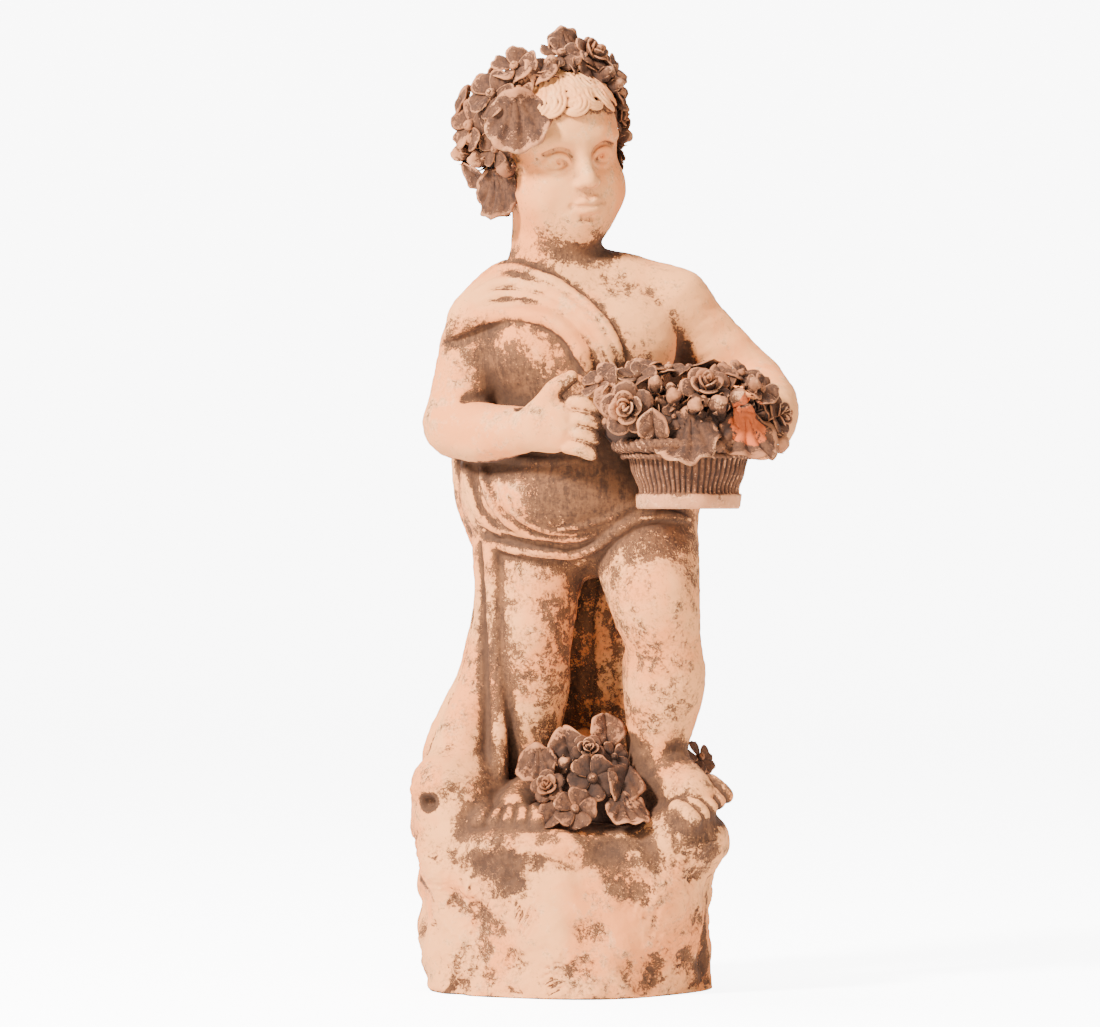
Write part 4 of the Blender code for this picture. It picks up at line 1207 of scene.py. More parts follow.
    def roughen(self, mesh: bpy.types.Mesh, thumbed: float) -> None:
        """Gives the skin the unevenness of hand-worked clay: a little everywhere, and more on the mound.

        Each vertex moves along its normal by low plane-wave ripples times how thumbed the piece is, plus,
        below the boy's feet, longer and rougher ripples, less the depth of the scratches.

        Args:
            mesh: the skin.
            thumbed: how strong the low ripples are.
        """
        points, normals = read_rows(mesh, "co"), read_rows(mesh, "normal")
        ground = 1 / (1 + np.exp((points[:, 2] - 0.128) / 0.005))
        thumbs = rippled(points, ((0.00020, 0.018, 1), (0.00009, 0.006, 2)))
        rough = np.clip(0.5 + 0.5 * ripple(points, 0.07, 6), 0, 1)
        rock = rippled(points, ((0.0015, 0.052, 3), (0.0009, 0.024, 4)))
        pits = rough * (0.00042 * np.abs(ripple(points, 0.010, 5)) + 0.00018 * ripple(points, 0.004, 7))
        proud = thumbed * thumbs + ground * (rock - pits) - self.scratches.depth(points)
        proud *= np.clip(points[:, 2] / 0.004, 0, 1)
        mesh.vertices.foreach_set("co", (points + normals * proud[:, None]).astype(np.float32).ravel())
        mesh.update()

    def weather(self, mesh: bpy.types.Mesh, air: ClayGrid) -> None:
        """Writes how shut in and how bare of wash each vertex is, with painted shade in creases and painted
        highlight on ridges.
        """
        points, normals = read_rows(mesh, "co"), read_rows(mesh, "normal")
        units = placed(STANCE.figure.inverted(), points)
        bare = np.zeros(len(points))
        for centre, radii, strength in self.bare_patches:
            away = ((units - centre) / radii) ** 2
            bare += strength * np.exp(-1.2 * away.sum(1))
        # The painted shade of hollows and creases is lightened at the listed places.
        shade_kept = np.ones(len(points))
        for centre, radii, kept in self.shade_lightened:
            shade_kept -= kept * np.exp(-(((units - centre) / radii) ** 4).sum(1))
        crease, ridge = read_values(mesh, "crease") * shade_kept**1.7, read_values(mesh, "ridge")
        hollow = shut_in(air, points, normals) * shade_kept + self.crease_hollow * crease
        write_values(mesh, "hollow", np.clip(hollow, 0, 1))
        write_values(mesh, "bare", bare + self.crease_shade_bareness * crease + self.ridge_highlight_weight * ridge)


BEND_STEPS = (0.0015, 0.0028)
AIR_STEPS = ((0.006, 0.3), (0.012, 0.3), (0.020, 0.25), (0.030, 0.15))


def bent(clay: ClayGrid, points: Array, normals: Array, side: int) -> Array:
    """How sharply a skin bends inwards in a crease, or outwards on a ridge, from 0 to 1.

    A step of d out from flat clay changes the field by d, and from a crease by less. The share of d that is
    missing, averaged over two steps, is the bend. For a ridge the steps go inwards.

    Args:
        clay: the fine clay that the skin was taken from.
        points: rows of places on the skin.
        normals: rows of the directions that they face.
        side: 1 for creases and -1 for ridges.

    Returns:
        One value a place.
    """
    start = clay.sampled(points)
    total = np.zeros(len(points))
    for away in BEND_STEPS:
        gained = side * (clay.sampled(points + side * away * normals) - start)
        total += np.clip(1 - gained / away, 0, 1) / len(BEND_STEPS)
    return np.clip(total * 1.5 - 0.10, 0, 1)


def shut_in(air: ClayGrid, points: Array, normals: Array) -> Array:
    """How shut in places are, from 0 in the open to about 1 in a deep hollow.

    Stepping out along the normal by d, open air is at least d away from all clay. The share of d that is
    missing, averaged over four steps, is how shut in the place is.

    Args:
        air: the coarse field of the whole statue.
        points: rows of places.
        normals: rows of the directions that they face.

    Returns:
        One value a place.
    """
    total = np.zeros(len(points))
    for away, weight in AIR_STEPS:
        total += weight * np.clip(1 - air.sampled(points + normals * away) / away, 0, 1)
    return np.clip(total * 1.6 - 0.08, 0, 1)


@dataclass(frozen=True)
class Disc:
    """A round two-sided sheet to shape: its places, and the faces that close it.

    Attributes:
        rings: how many rings of faces lie between the middle and the rim.
        spokes: how many faces go round.
    """

    rings: int
    spokes: int

    def places(self) -> tuple[Array, Array, Array]:
        """Across and along, from -1 to 1, and which side of the sheet: 1 above, -1 below and 0 on the rim."""
        s = (np.arange(1, self.rings) / self.rings)[:, None]
        t = 2 * np.pi * np.arange(self.spokes)[None, :] / self.spokes
        u, v = (s * np.cos(t)).ravel(), (s * np.sin(t)).ravel()
        rim_u, rim_v = np.cos(t).ravel(), np.sin(t).ravel()
        inner = len(u) + 1
        side = np.concatenate([np.ones(inner), -np.ones(inner), np.zeros(self.spokes)])
        return np.concatenate([[0], u, [0], u, rim_u]), np.concatenate([[0], v, [0], v, rim_v]), side

    def faces(self) -> Array:
        """Rows of three vertex numbers, facing up above and down below."""
        inner = 1 + (self.rings - 1) * self.spokes
        above, below = (
            turned_faces([*range(start + 1, start + inner, self.spokes), 2 * inner], self.spokes, start)
            for start in (0, inner)
        )
        return np.vstack([above, below[:, ::-1]])


SEPAL_DISC = Disc(3, 10)
PETAL_DISC = Disc(5, 20)
LEAF_DISC = Disc(7, 36)
FAN_DISC = Disc(10, 84)


@dataclass
class Bunch:
    """Many petals, buds and leaves that become one mesh.

    Attributes:
        name: the piece's name.
        parts: points, faces and paleness of each part so far; paleness above nought is worn wash and painted
            highlight, below nought painted shade.
        worn_and_lit_rim_from: the share of the way to its rim from which a petal's upper face pales, as worn
            wash and painted highlight.
        shaded_below: the height over its middle, in its own units, below which a petal darkens with painted
            shade.
        shade_rate: how fast that painted shade deepens with depth.
    """

    name: str
    parts: list[tuple[Array, Array, Array]] = field(default_factory=list)
    worn_and_lit_rim_from: float = 0.80
    shaded_below: float = 0.16
    shade_rate: float = 1.3

    def add_sheet(self, frame: Matrix, sheet: Sheet, thick: float, disc: Disc = PETAL_DISC) -> None:
        """Adds a thin closed sheet.

        A place on it is the sheet's own place plus or minus half its thickness along its normal, which is the
        cross product of its two slopes. The thickness falls to nought at the rim as a quarter round.

        Args:
            frame: where the sheet goes.
            sheet: gives the place at u across and v along.
            thick: the thickness in the middle.
            disc: the places and faces to shape.
        """
        u, v, side = disc.places()
        small = 1e-3
        middle = sheet(u, v)
        slope_u = sheet(u + small, v) - middle
        slope_v = sheet(u, v + small) - middle
        normal = np.cross(slope_u, slope_v)
        normal /= np.maximum(np.linalg.norm(normal, axis=1, keepdims=True), TINY)
        reach = np.hypot(u, v)
        half = 0.5 * thick * np.sqrt(np.clip(1 - reach**4, 0, 1))
        points = placed(frame, middle + normal * (side * half)[:, None])
        # Pale rims on the upper face: worn wash and painted highlight.
        pale = np.clip((reach - self.worn_and_lit_rim_from) / (1 - self.worn_and_lit_rim_from), 0, 1) * (side >= 0)
        # Low parts of a petal darken: painted shade.
        pale = pale - self.shade_rate * np.clip(self.shaded_below - middle[:, 2], 0, 0.6)
        self.parts.append((points, disc.faces(), pale))

    def add_ball(
        self, frame: Matrix, centre: Triple, radii: Triple, twist: float = 0.0, lobes: int = 0
    ) -> None:
        """Adds a closed egg with twisted lobes: its radius across grows by a wave of angle and height."""
        rows, spokes = 9, 16
        lift = np.linspace(0, np.pi, rows + 1)[1:-1, None]
        spin = 2 * np.pi * np.arange(spokes)[None, :] / spokes
        swell = 1 + 0.16 * np.cos(lobes * spin + twist * np.cos(lift)) * (lobes > 0)
        x = (np.sin(lift) * np.cos(spin) * swell * radii[0]).ravel()
        y = (np.sin(lift) * np.sin(spin) * swell * radii[1]).ravel()
        z = (np.cos(lift) * radii[2] + 0 * spin).ravel()
        tips = [(0, 0, radii[2]), (0, 0, -radii[2])]
        points = np.vstack([tips, np.stack([x, y, z], 1)])
        faces = turned_faces(range(2, len(points), spokes), spokes, 0, 1)
        # The upper part of the egg is paler: painted highlight.
        pale = np.clip(points[:, 2] / radii[2] - 0.3, 0, 1)
        self.parts.append((placed(frame, points + np.array(centre)), faces, pale))

    def add_lump(self, frame: Matrix, centre: Triple, radii: Triple) -> None:
        """Adds the lump of clay that a heap of flowers is pressed on, coloured wholly as painted shade."""
        self.add_ball(frame, centre, radii, 1.0, 7)
        points, faces, _ = self.parts.pop()
        self.parts.append((points, faces, np.full(len(points), -1.0)))

    def add_rose(self, frame: Matrix, open_out: float) -> None:
        """Adds a rose: rings of cupped petals, each a wall that leans and curls out, round a furled heart."""
        rings = (
            (2, 0.12, 0.6, 1.75, 0.02), (3, 0.25, 0.56, 1.3, 0.08), (4, 0.42, 0.42, 1.02, 0.22),
            (5, 0.62, 0.18, 0.8, 0.42),
        )
        for ring, (count, radius, top, wide, curl) in enumerate(rings):
            for k in range(count):
                start = 2 * math.pi * (k + 0.37 * ring) / count

                def wall(u: Array, v: Array) -> Array:
                    """A petal as a wall: angle with u, height with v, radius growing with height."""
                    rise = (v + 1) / 2
                    angle = start + wide * u
                    away = radius * (0.55 + 0.45 * rise) + curl * open_out * rise**3 + 0.04 * u
                    lift = -0.3 + (top + 0.3) * rise - 0.12 * u * u * rise - curl * 0.5 * open_out * rise**4
                    lift = lift + 0.03 * np.sin(4 * u + 3 * k) * rise**3
                    return np.stack([away * np.cos(angle), away * np.sin(angle), lift], -1)

                self.add_sheet(frame, wall, 0.13)
        self.add_ball(frame, (0, 0, 0.40), (0.09, 0.09, 0.18), 2.0, 2)

    def add_blossom(self, frame: Matrix, petals: int, cup: float) -> None:
        """Adds an open blossom: broad cupped petals that overlap one way round a button."""
        wide = 3.3 / petals
        for k in range(petals):
            turn = Matrix.Rotation(2 * math.pi * k / petals, 4, "Z")

            def petal(u: Array, v: Array) -> Array:
                """A petal: out with v, across with u, cupped, sunk down its middle and tipped to one side."""
                out = 0.54 + 0.46 * v
                lift = cup * out**2 - 0.06 * u * u + 0.16 * u + 0.05 * np.cos(4 * u + 2 * k) * out**2
                sunk = 0.07 * np.exp(-((u / 0.18) ** 2)) * out
                notch = 0.06 * np.exp(-((u / 0.25) ** 2)) * np.clip(v, 0, 1) ** 3
                return np.stack([out - notch, wide * u * (0.72 + 0.28 * v), lift - sunk - 0.05], -1)

            self.add_sheet(frame @ turn, petal, 0.14)
        self.add_ball(frame, (0, 0, 0.08), (0.21, 0.21, 0.2), 0.0, 0)
        self.add_ball(frame, (0, 0, 0.22), (0.10, 0.10, 0.12), 0.0, 0)

    def add_bud(self, frame: Matrix) -> None:
        """Adds a bud: a furled egg in four sepals."""
        self.add_ball(frame, (0, 0, 0.15), (0.62, 0.62, 0.85), 3.4, 3)
        for k in range(4):
            turn = Matrix.Rotation(math.pi / 2 * k + 0.4, 4, "Z")

            def sepal(u: Array, v: Array) -> Array:
                """A sepal: a narrow leaf that hugs the bud and flares at its tip."""
                rise = (v + 1) / 2
                out = 0.70 * np.sin(0.5 + 2.0 * rise) + 0.30 * rise**3
                return np.stack([out, 0.30 * u * (1.15 - rise), -0.7 + 1.3 * rise], -1)

            self.add_sheet(frame @ turn, sepal, 0.10, SEPAL_DISC)

    def add_leaf(self, frame: Matrix, seed: float) -> None:
        """Adds a pointed leaf with a lobed edge, a sunk midrib and slanting side veins."""

        def blade(u: Array, v: Array) -> Array:
            """The blade: along with v, across with u, narrowing to a tip, folded along its rib and arched."""
            rise = (v + 1) / 2
            wide = 0.86 * np.sin(np.pi * np.clip(0.12 + 0.84 * rise, 0, 1)) ** 0.7 + 0.02
            tooth = 1 + 0.09 * np.sin(11 * rise + seed) * np.abs(u) ** 2
            vein = 0.045 * np.cos(20 * (rise - 0.35 * np.abs(u)) + seed) * np.minimum(1, np.abs(u) * 5)
            rib = -0.11 * np.exp(-((u / 0.10) ** 2))
            arch = 0.20 * np.sin(2.6 * rise + 0.3 + seed) + 0.24 * np.abs(u) - 0.30 * rise**2
            wave = 0.08 * np.sin(7 * rise + 2 * seed) * u
            return np.stack([u * wide * tooth, -0.85 + 2.0 * rise, arch + vein + rib + wave], -1)

        self.add_sheet(frame, blade, 0.13, LEAF_DISC)

    def add_fan(self, frame: Matrix, seed: float) -> None:
        """Adds a fan leaf: ribs that spread from its stalk, a scalloped edge and a wavy cup."""

        def fan(u: Array, v: Array) -> Array:
            """The fan: ribs by the angle at the stalk, scallops and waves by the angle at the middle."""
            reach, around = np.hypot(u, v), np.arctan2(u, v)
            from_stalk = np.hypot(u, v + 0.95)
            angle = np.arctan2(u, v + 0.95)
            ribs = 0.055 * np.cos(17 * angle + seed) * np.minimum(from_stalk, 1.2)
            scallop = 1 + 0.07 * np.abs(np.sin(4.5 * around + seed)) * reach**3
            wave = (0.13 * np.sin(3 * around + seed) + 0.06 * np.sin(7 * around + 2 * seed)) * reach**3
            cup = 0.34 * (from_stalk - 0.9) ** 2 - 0.14 * u * u
            return np.stack([0.98 * u * scallop, 0.95 * v * scallop + 0.1, cup + ribs + wave - 0.1], -1)

        self.add_sheet(frame, fan, 0.12, FAN_DISC)

    def add(self, frame: Matrix, kind: Kind, place: Triple, size: float, facing: Triple) -> None:
        """Adds one flower or leaf.

        Args:
            frame: the frame that place and size are given in.
            kind: what it is.
            place: its middle.
            size: its radius.
            facing: the way its face looks.
        """
        here = facing_frame(frame, place, size, facing)
        seed = 1.7 * place[0] + 0.9 * place[2]
        spin = here @ Matrix.Rotation(seed, 4, "Z")
        if kind is ROSE:
            self.add_rose(spin @ Matrix.Scale(1.05, 4), 0.9)
        elif kind is BLOSSOM:
            self.add_blossom(spin, 5, 0.22 + 0.12 * math.sin(seed))
        elif kind is BUD:
            self.add_bud(spin)
        elif kind is FAN:
            self.add_fan(here, seed)
        else:
            self.add_leaf(here @ Matrix.Rotation(0.5 * math.sin(seed), 4, "Z"), seed)

    def add_all(self, frame: Matrix, flowers: Sequence[tuple[Kind, Triple, float, Triple]]) -> None:
        """Adds a list of flowers and leaves."""
        for kind, place, size, facing in flowers:
            self.add(frame, kind, place, size, facing)

    def piece(self, air: ClayGrid, break_spot: Triple | None = None) -> Thing:
        """Makes one mesh of all the parts and writes how pale, shut in and broken each vertex is; the
        paleness holds painted highlight and painted shade.
        """
        sizes = np.cumsum([0] + [len(points) for points, _, _ in self.parts])
        points = np.vstack([part[0] for part in self.parts])
        faces = np.vstack([part[1] + start for part, start in zip(self.parts, sizes)])
        thing = mesh_from(self.name, points, faces)
        pale = np.concatenate([part[2] for part in self.parts])
        normals = read_rows(thing.data, "normal")
        # Paleness below nought is painted shade; it is written into hollow and crease, which the finish
        # darkens.
        deep = np.clip(-pale, 0, 1)
        write_values(thing.data, "hollow", np.clip(0.75 * shut_in(air, points, normals) + deep, 0, 1))
        write_values(thing.data, "bare", 0.30 - 0.62 * pale)
        write_values(thing.data, "crease", deep)
        broken = np.zeros(len(points))
        if break_spot is not None:
            broken = np.exp(-((np.linalg.norm(points - break_spot, axis=1) / 0.026) ** 4))
        write_values(thing.data, "broken", broken)
        return thing


def facing_frame(frame: Matrix, place: Triple, size: float, facing: Triple) -> Matrix:
    """A frame at a place, scaled by a size, whose +Z looks the way that is faced and whose +Y hangs down."""
    look = Vector(facing).normalized()
    down = Vector((0, 0, -1)) - look * -look.z
    down = (down if down.length > 0.2 else Vector((0, -1, 0)) - look * -look.y).normalized()
    spin = Matrix((down.cross(look), down, look)).transposed().to_4x4()
    return frame @ Matrix.Translation(place) @ spin @ Matrix.Scale(size, 4)


@dataclass
class BasketOfFlowers:
    """The basket and the flowers heaped in it.

    The radii of its foot, neck and rim, the depth of the rim, and the height and depth of the foot's band are
    in metres. The heap and the flowers are in tenths of the rim's radius from the middle of the rim.
    """

    foot: float = 0.038
    neck: float = 0.044
    rim: float = 0.058
    rim_depth: float = 0.009
    band_height: float = 0.011
    band_proud: float = 0.002
    reeds: int = 58
    points_a_reed: int = 8
    reed_depth: float = 0.0017
    heap: tuple = ((0, 0, 1.2), (10.4, 8.4, 4.4))
    flowers: tuple = (
        (ROSE, (-8.2, -7.4, 3.9), 3.6, (-0.25, -1, 0.1)),
        (BLOSSOM, (-11.6, -3.4, 7.6), 3, (-0.6, -0.6, 0.6)),
        (BLOSSOM, (-6.8, -3.8, 8.2), 2.8, (-0.1, -0.5, 0.9)),
        (ROSE, (2.2, -5.8, 6.8), 3.5, (0.1, -0.8, 0.7)),
        (BUD, (-2.1, -8, 5.4), 1.7, (-0.1, -0.9, 0.3)),
        (BUD, (0.6, -9, 4.2), 1.7, (0.1, -0.9, 0.3)),
        (BUD, (3.7, -9, 4.4), 1.9, (0.1, -0.9, 0.3)),
        (BUD, (6.2, -8.2, 5.2), 1.9, (0.2, -0.9, 0.3)),
        (FAN, (-0.4, -9.4, 0.4), 4.3, (-0.25, -0.9, 0.5)),
        (FAN, (7.8, -7.4, 0.6), 4.2, (0.35, -0.8, 0.5)),
        (ROSE, (12, -2.4, 3.2), 2.7, (0.9, -0.5, 0.2)),
        (BUD, (11.4, -3.2, -0.4), 2, (0.8, -0.6, -0.3)),
        (BLOSSOM, (6.8, -1.6, 8.4), 3.1, (0.4, -0.4, 0.9)),
        (BLOSSOM, (9.8, 1, 7.4), 2.7, (0.6, 0, 0.8)),
        (BLOSSOM, (-2.6, -0.4, 9.2), 3, (0, -0.2, 1)),
        (LEAF, (-5.8, 1.2, 9.6), 2.9, (-0.3, -0.3, 0.9)),
        (LEAF, (1.8, 1.6, 9.4), 2.9, (0.1, 0.2, 1)),
        (BLOSSOM, (4.8, 4.2, 7.8), 2.7, (0.2, 0.6, 0.8)),
        (LEAF, (-4.6, -8.2, 1.8), 2.7, (-0.3, -0.9, -0.2)),
        (BLOSSOM, (9.4, -4.6, 6.4), 2.6, (0.5, -0.7, 0.6)),
        (LEAF, (10.6, -3.4, 5.2), 2.6, (0.7, -0.6, 0.4)),
        (BUD, (8.2, -5.8, 6.8), 1.6, (0.3, -0.8, 0.5)),
        (LEAF, (4.4, -3.8, 8.6), 2.4, (0.1, -0.6, 0.8)),
        (BUD, (-4.4, -6.6, 7), 1.6, (-0.1, -0.8, 0.6)),
        (LEAF, (-10.4, -5.6, 5.4), 2.4, (-0.5, -0.8, 0.3)),
    )

    def weave(self) -> tuple[Array, Array, Array]:
        """The basket's side as a turned surface with upright reeds.

        The radius runs down a profile of height, and between the rim and the foot band it also loses a wave
        of the angle, which cuts the reeds.

        Returns:
            Points and faces of the closed body, and how deep in a cut each point is, from 0 to 1.
        """
        height = STANCE.basket_height
        brow = height - 2 * self.rim_depth
        profile = smooth_run(
            (
                (self.rim * 0.90, height - 0.002),
                (self.rim * 0.985, height - 0.003),
                (self.rim * 0.97, height - self.rim_depth),
                (self.neck * 1.06, brow + self.rim_depth * 0.6),
                (self.neck * 0.98, brow * 0.8),
                (self.foot * 1.02, brow * 0.5),
                (self.foot, self.band_height + 0.001),
            ),
            8,
        )
        band = self.foot + self.band_proud
        foot = (
            (band * 0.995, self.band_height),
            (band, self.band_height - 0.0015),
            (band, 0.002),
            (band - 0.0015, 0),
        )
        rows = np.vstack([profile, foot, [(self.foot * 0.5, 0.0)]])
        count = self.reeds * self.points_a_reed
        angle = 2 * np.pi * np.arange(count) / count
        radius, level = rows[:, 0][:, None], rows[:, 1][:, None]
        over_band = np.clip((level - self.band_height) / 0.002, 0, 1)
        under_rim = np.clip((height - 0.0075 - level) / 0.002, 0, 1)
        uneven = 0.35 * np.sin(3 * angle) + 0.25 * np.sin(7 * angle + 1.3) + 0.2 * np.sin(11 * angle + 0.4)
        cut = over_band * under_rim * np.abs(np.cos(self.reeds * angle / 2 + uneven)) ** 4
        dented = 0.0005 * np.sin(9 * angle + 90 * level) * np.sin(4 * angle + 1)
        radius = radius - self.reed_depth * cut + dented
        x, y = radius * np.cos(angle), radius * np.sin(angle)
        z = level + 0 * angle
        points = np.stack([x.ravel(), y.ravel(), z.ravel()], 1)
        tip = len(points)
        points = np.vstack([points, [(0, 0, rows[0, 1])], [(0, 0, 0)]])
        return points, turned_faces(range(0, tip, count), count, tip, tip + 1), np.append(cut.ravel(), [1, 0])

    def cord(self, radius: float, height: float, thick: float, twists: int) -> tuple[Array, Array, Array]:
        """A twisted cord laid in a ring.

        About the ring's circle the cord's own radius is thick times one plus a wave of three strands, whose
        phase turns as it goes round.

        Args:
            radius: the ring's radius.
            height: its height.
            thick: the cord's radius.
            twists: how many times the strands turn.

        Returns:
            Points and faces of the closed ring, and how deep between its strands each point is.
        """
        count, sides = 360, 14
        spin = 2 * np.pi * np.arange(count)[:, None] / count
        turn = 2 * np.pi * np.arange(sides)[None, :] / sides
        strand = np.abs(np.cos(1.5 * turn + twists * spin / 2))
        lobe = thick * (0.78 + 0.28 * strand)
        away = radius + lobe * np.cos(turn)
        sheets = (away * np.cos(spin), away * np.sin(spin), height + lobe * np.sin(turn))
        points = np.stack([sheet.ravel() for sheet in sheets], 1)
        i, j = (a.ravel() for a in np.meshgrid(np.arange(count), np.arange(sides), indexing="ij"))
        along, round_ = (i + 1) % count, (j + 1) % sides
        a, b, c, d = i * sides + j, along * sides + j, along * sides + round_, i * sides + round_
        return points, np.vstack([np.stack([a, b, c], 1), np.stack([a, c, d], 1)]), (1 - strand.ravel()) ** 2

    def basket_piece(self, air: ClayGrid) -> Thing:
        """The basket as one mesh of its side and two cords."""
        woven = Bunch("basket")
        frame = STANCE.basket
        height = STANCE.basket_height
        rings = (
            self.cord(self.rim * 0.955, height - 0.0045, 0.0042, 60),
            self.cord(self.neck * 1.14, height - 0.0125, 0.0024, 70),
        )
        grooves = []
        for points, faces, cut in (self.weave(), *rings):
            swell = 1 + rippled(points, ((0.008, 0.030, 21), (0.004, 0.009, 22)))
            woven.parts.append((placed(frame, points * swell[:, None]), faces, 0 * cut))
            grooves.append(cut)
        thing = woven.piece(air)
        level = read_rows(thing.data, "co")[:, 2] - frame.translation.z
        band = 1 / (1 + np.exp((level - self.band_height) / 0.0008))
        groove = np.concatenate(grooves)
        # Painted shade: the cuts between reeds and between cord strands count as hollow and bare, which
        # darkens them.
        write_values(thing.data, "hollow", 0.7 * read_values(thing.data, "hollow") + 1.2 * groove)
        write_values(thing.data, "bare", 0.30 - 0.38 * band + 0.8 * groove)
        return thing

    def heap_piece(self, air: ClayGrid) -> Thing:
        """The flowers in the basket as one mesh."""
        bunch = Bunch("basket_flowers")
        top = STANCE.basket_top
        # The heap's lump is coloured wholly as painted shade.
        bunch.add_lump(top, *self.heap)
        bunch.add_all(top, self.flowers)
        self.fill(bunch, top, 64, 12)
        return bunch.piece(air, tuple(top @ Vector((8.4, -8.4, 2.6))))

    def fill(self, bunch: Bunch, top: Matrix, count: int, seed: int) -> None:
        """Fills the gaps in the heap with small leaves, buds and blossoms, spread evenly over its egg."""
        draw = np.random.default_rng(seed)
        (cx, cy, cz), (rx, ry, rz) = self.heap
        for k in range(count):
            lift = 1 - 0.92 * (k + 0.5) / count
            spin = GOLDEN_TURN * k
            flat = math.sqrt(1 - lift * lift)
            way = Vector((flat * math.cos(spin), flat * math.sin(spin), lift))
            place = (cx + rx * way.x, cy + ry * way.y, cz + (rz + 1.2) * way.z)
            kind = (LEAF, BLOSSOM, LEAF, BUD)[k % 4]
            size = draw.uniform(1.5, 2.1) * (0.75 if kind is BUD else 1.0)
            bunch.add(top, kind, place, size, tuple(way + Vector(draw.uniform(-0.3, 0.3, 3))))


@dataclass
class GroundFlowers:
    """The flowers on the mound: a posy between his feet and a smaller one beside his left heel."""

    mass: tuple = (((2.4, -7.6, 3), (5, 3.6, 4.6)), ((16, -1.4, 3.4), (2.4, 2.8, 3.4)))
    flowers: tuple = (
        (FAN, (-4.4, -10.2, 8.2), 2.8, (-0.3, -0.9, 0.4)),
        (ROSE, (2.3, -10.2, 9.8), 2.2, (0, -0.9, 0.5)),
        (ROSE, (-2.9, -12.8, 5.2), 2.3, (-0.3, -0.9, 0.4)),
        (BLOSSOM, (2.8, -13, 6.2), 3.3, (0.1, -0.95, 0.3)),
        (BLOSSOM, (0.6, -15.2, 2.4), 2.9, (0, -0.95, 0.4)),
        (LEAF, (7, -11.8, 5.8), 3.2, (0.4, -0.8, 0.3)),
        (FAN, (7.4, -13.8, 2.4), 3, (0.3, -0.7, 0.7)),
        (LEAF, (-0.6, -9, 10.8), 2.6, (-0.2, -0.8, 0.5)),
        (LEAF, (4.6, -6.8, 12.2), 2.8, (0.2, -0.8, 0.5)),
        (BUD, (-0.6, -11.8, 8), 1.4, (-0.2, -0.9, 0.4)),
        (LEAF, (-2.2, -14.4, 2), 2.4, (-0.3, -0.8, 0.5)),
        (BLOSSOM, (5.6, -9.2, 8.8), 2.2, (0.4, -0.8, 0.4)),
        (BLOSSOM, (16.8, -2.8, 8.4), 2.5, (0.6, -0.6, 0.5)),
        (LEAF, (17.8, -4.6, 5.6), 2.4, (0.8, -0.5, 0.4)),
        (BLOSSOM, (18.4, 0.4, 4.6), 2.3, (0.9, 0.1, 0.4)),
        (ROSE, (16.6, 1.4, 7.2), 2, (0.6, 0.5, 0.6)),
        (LEAF, (15.4, 2.4, 3.6), 2.3, (0.4, 0.9, 0.3)),
    )

    def piece(self, air: ClayGrid) -> Thing:
        """The ground's flowers as one mesh."""
        bunch = Bunch("ground_flowers")
        for centre, radii in self.mass:
            # Each lump is coloured wholly as painted shade.
            bunch.add_lump(STANCE.figure, centre, radii)
        bunch.add_all(STANCE.figure, self.flowers)
        return bunch.piece(air)


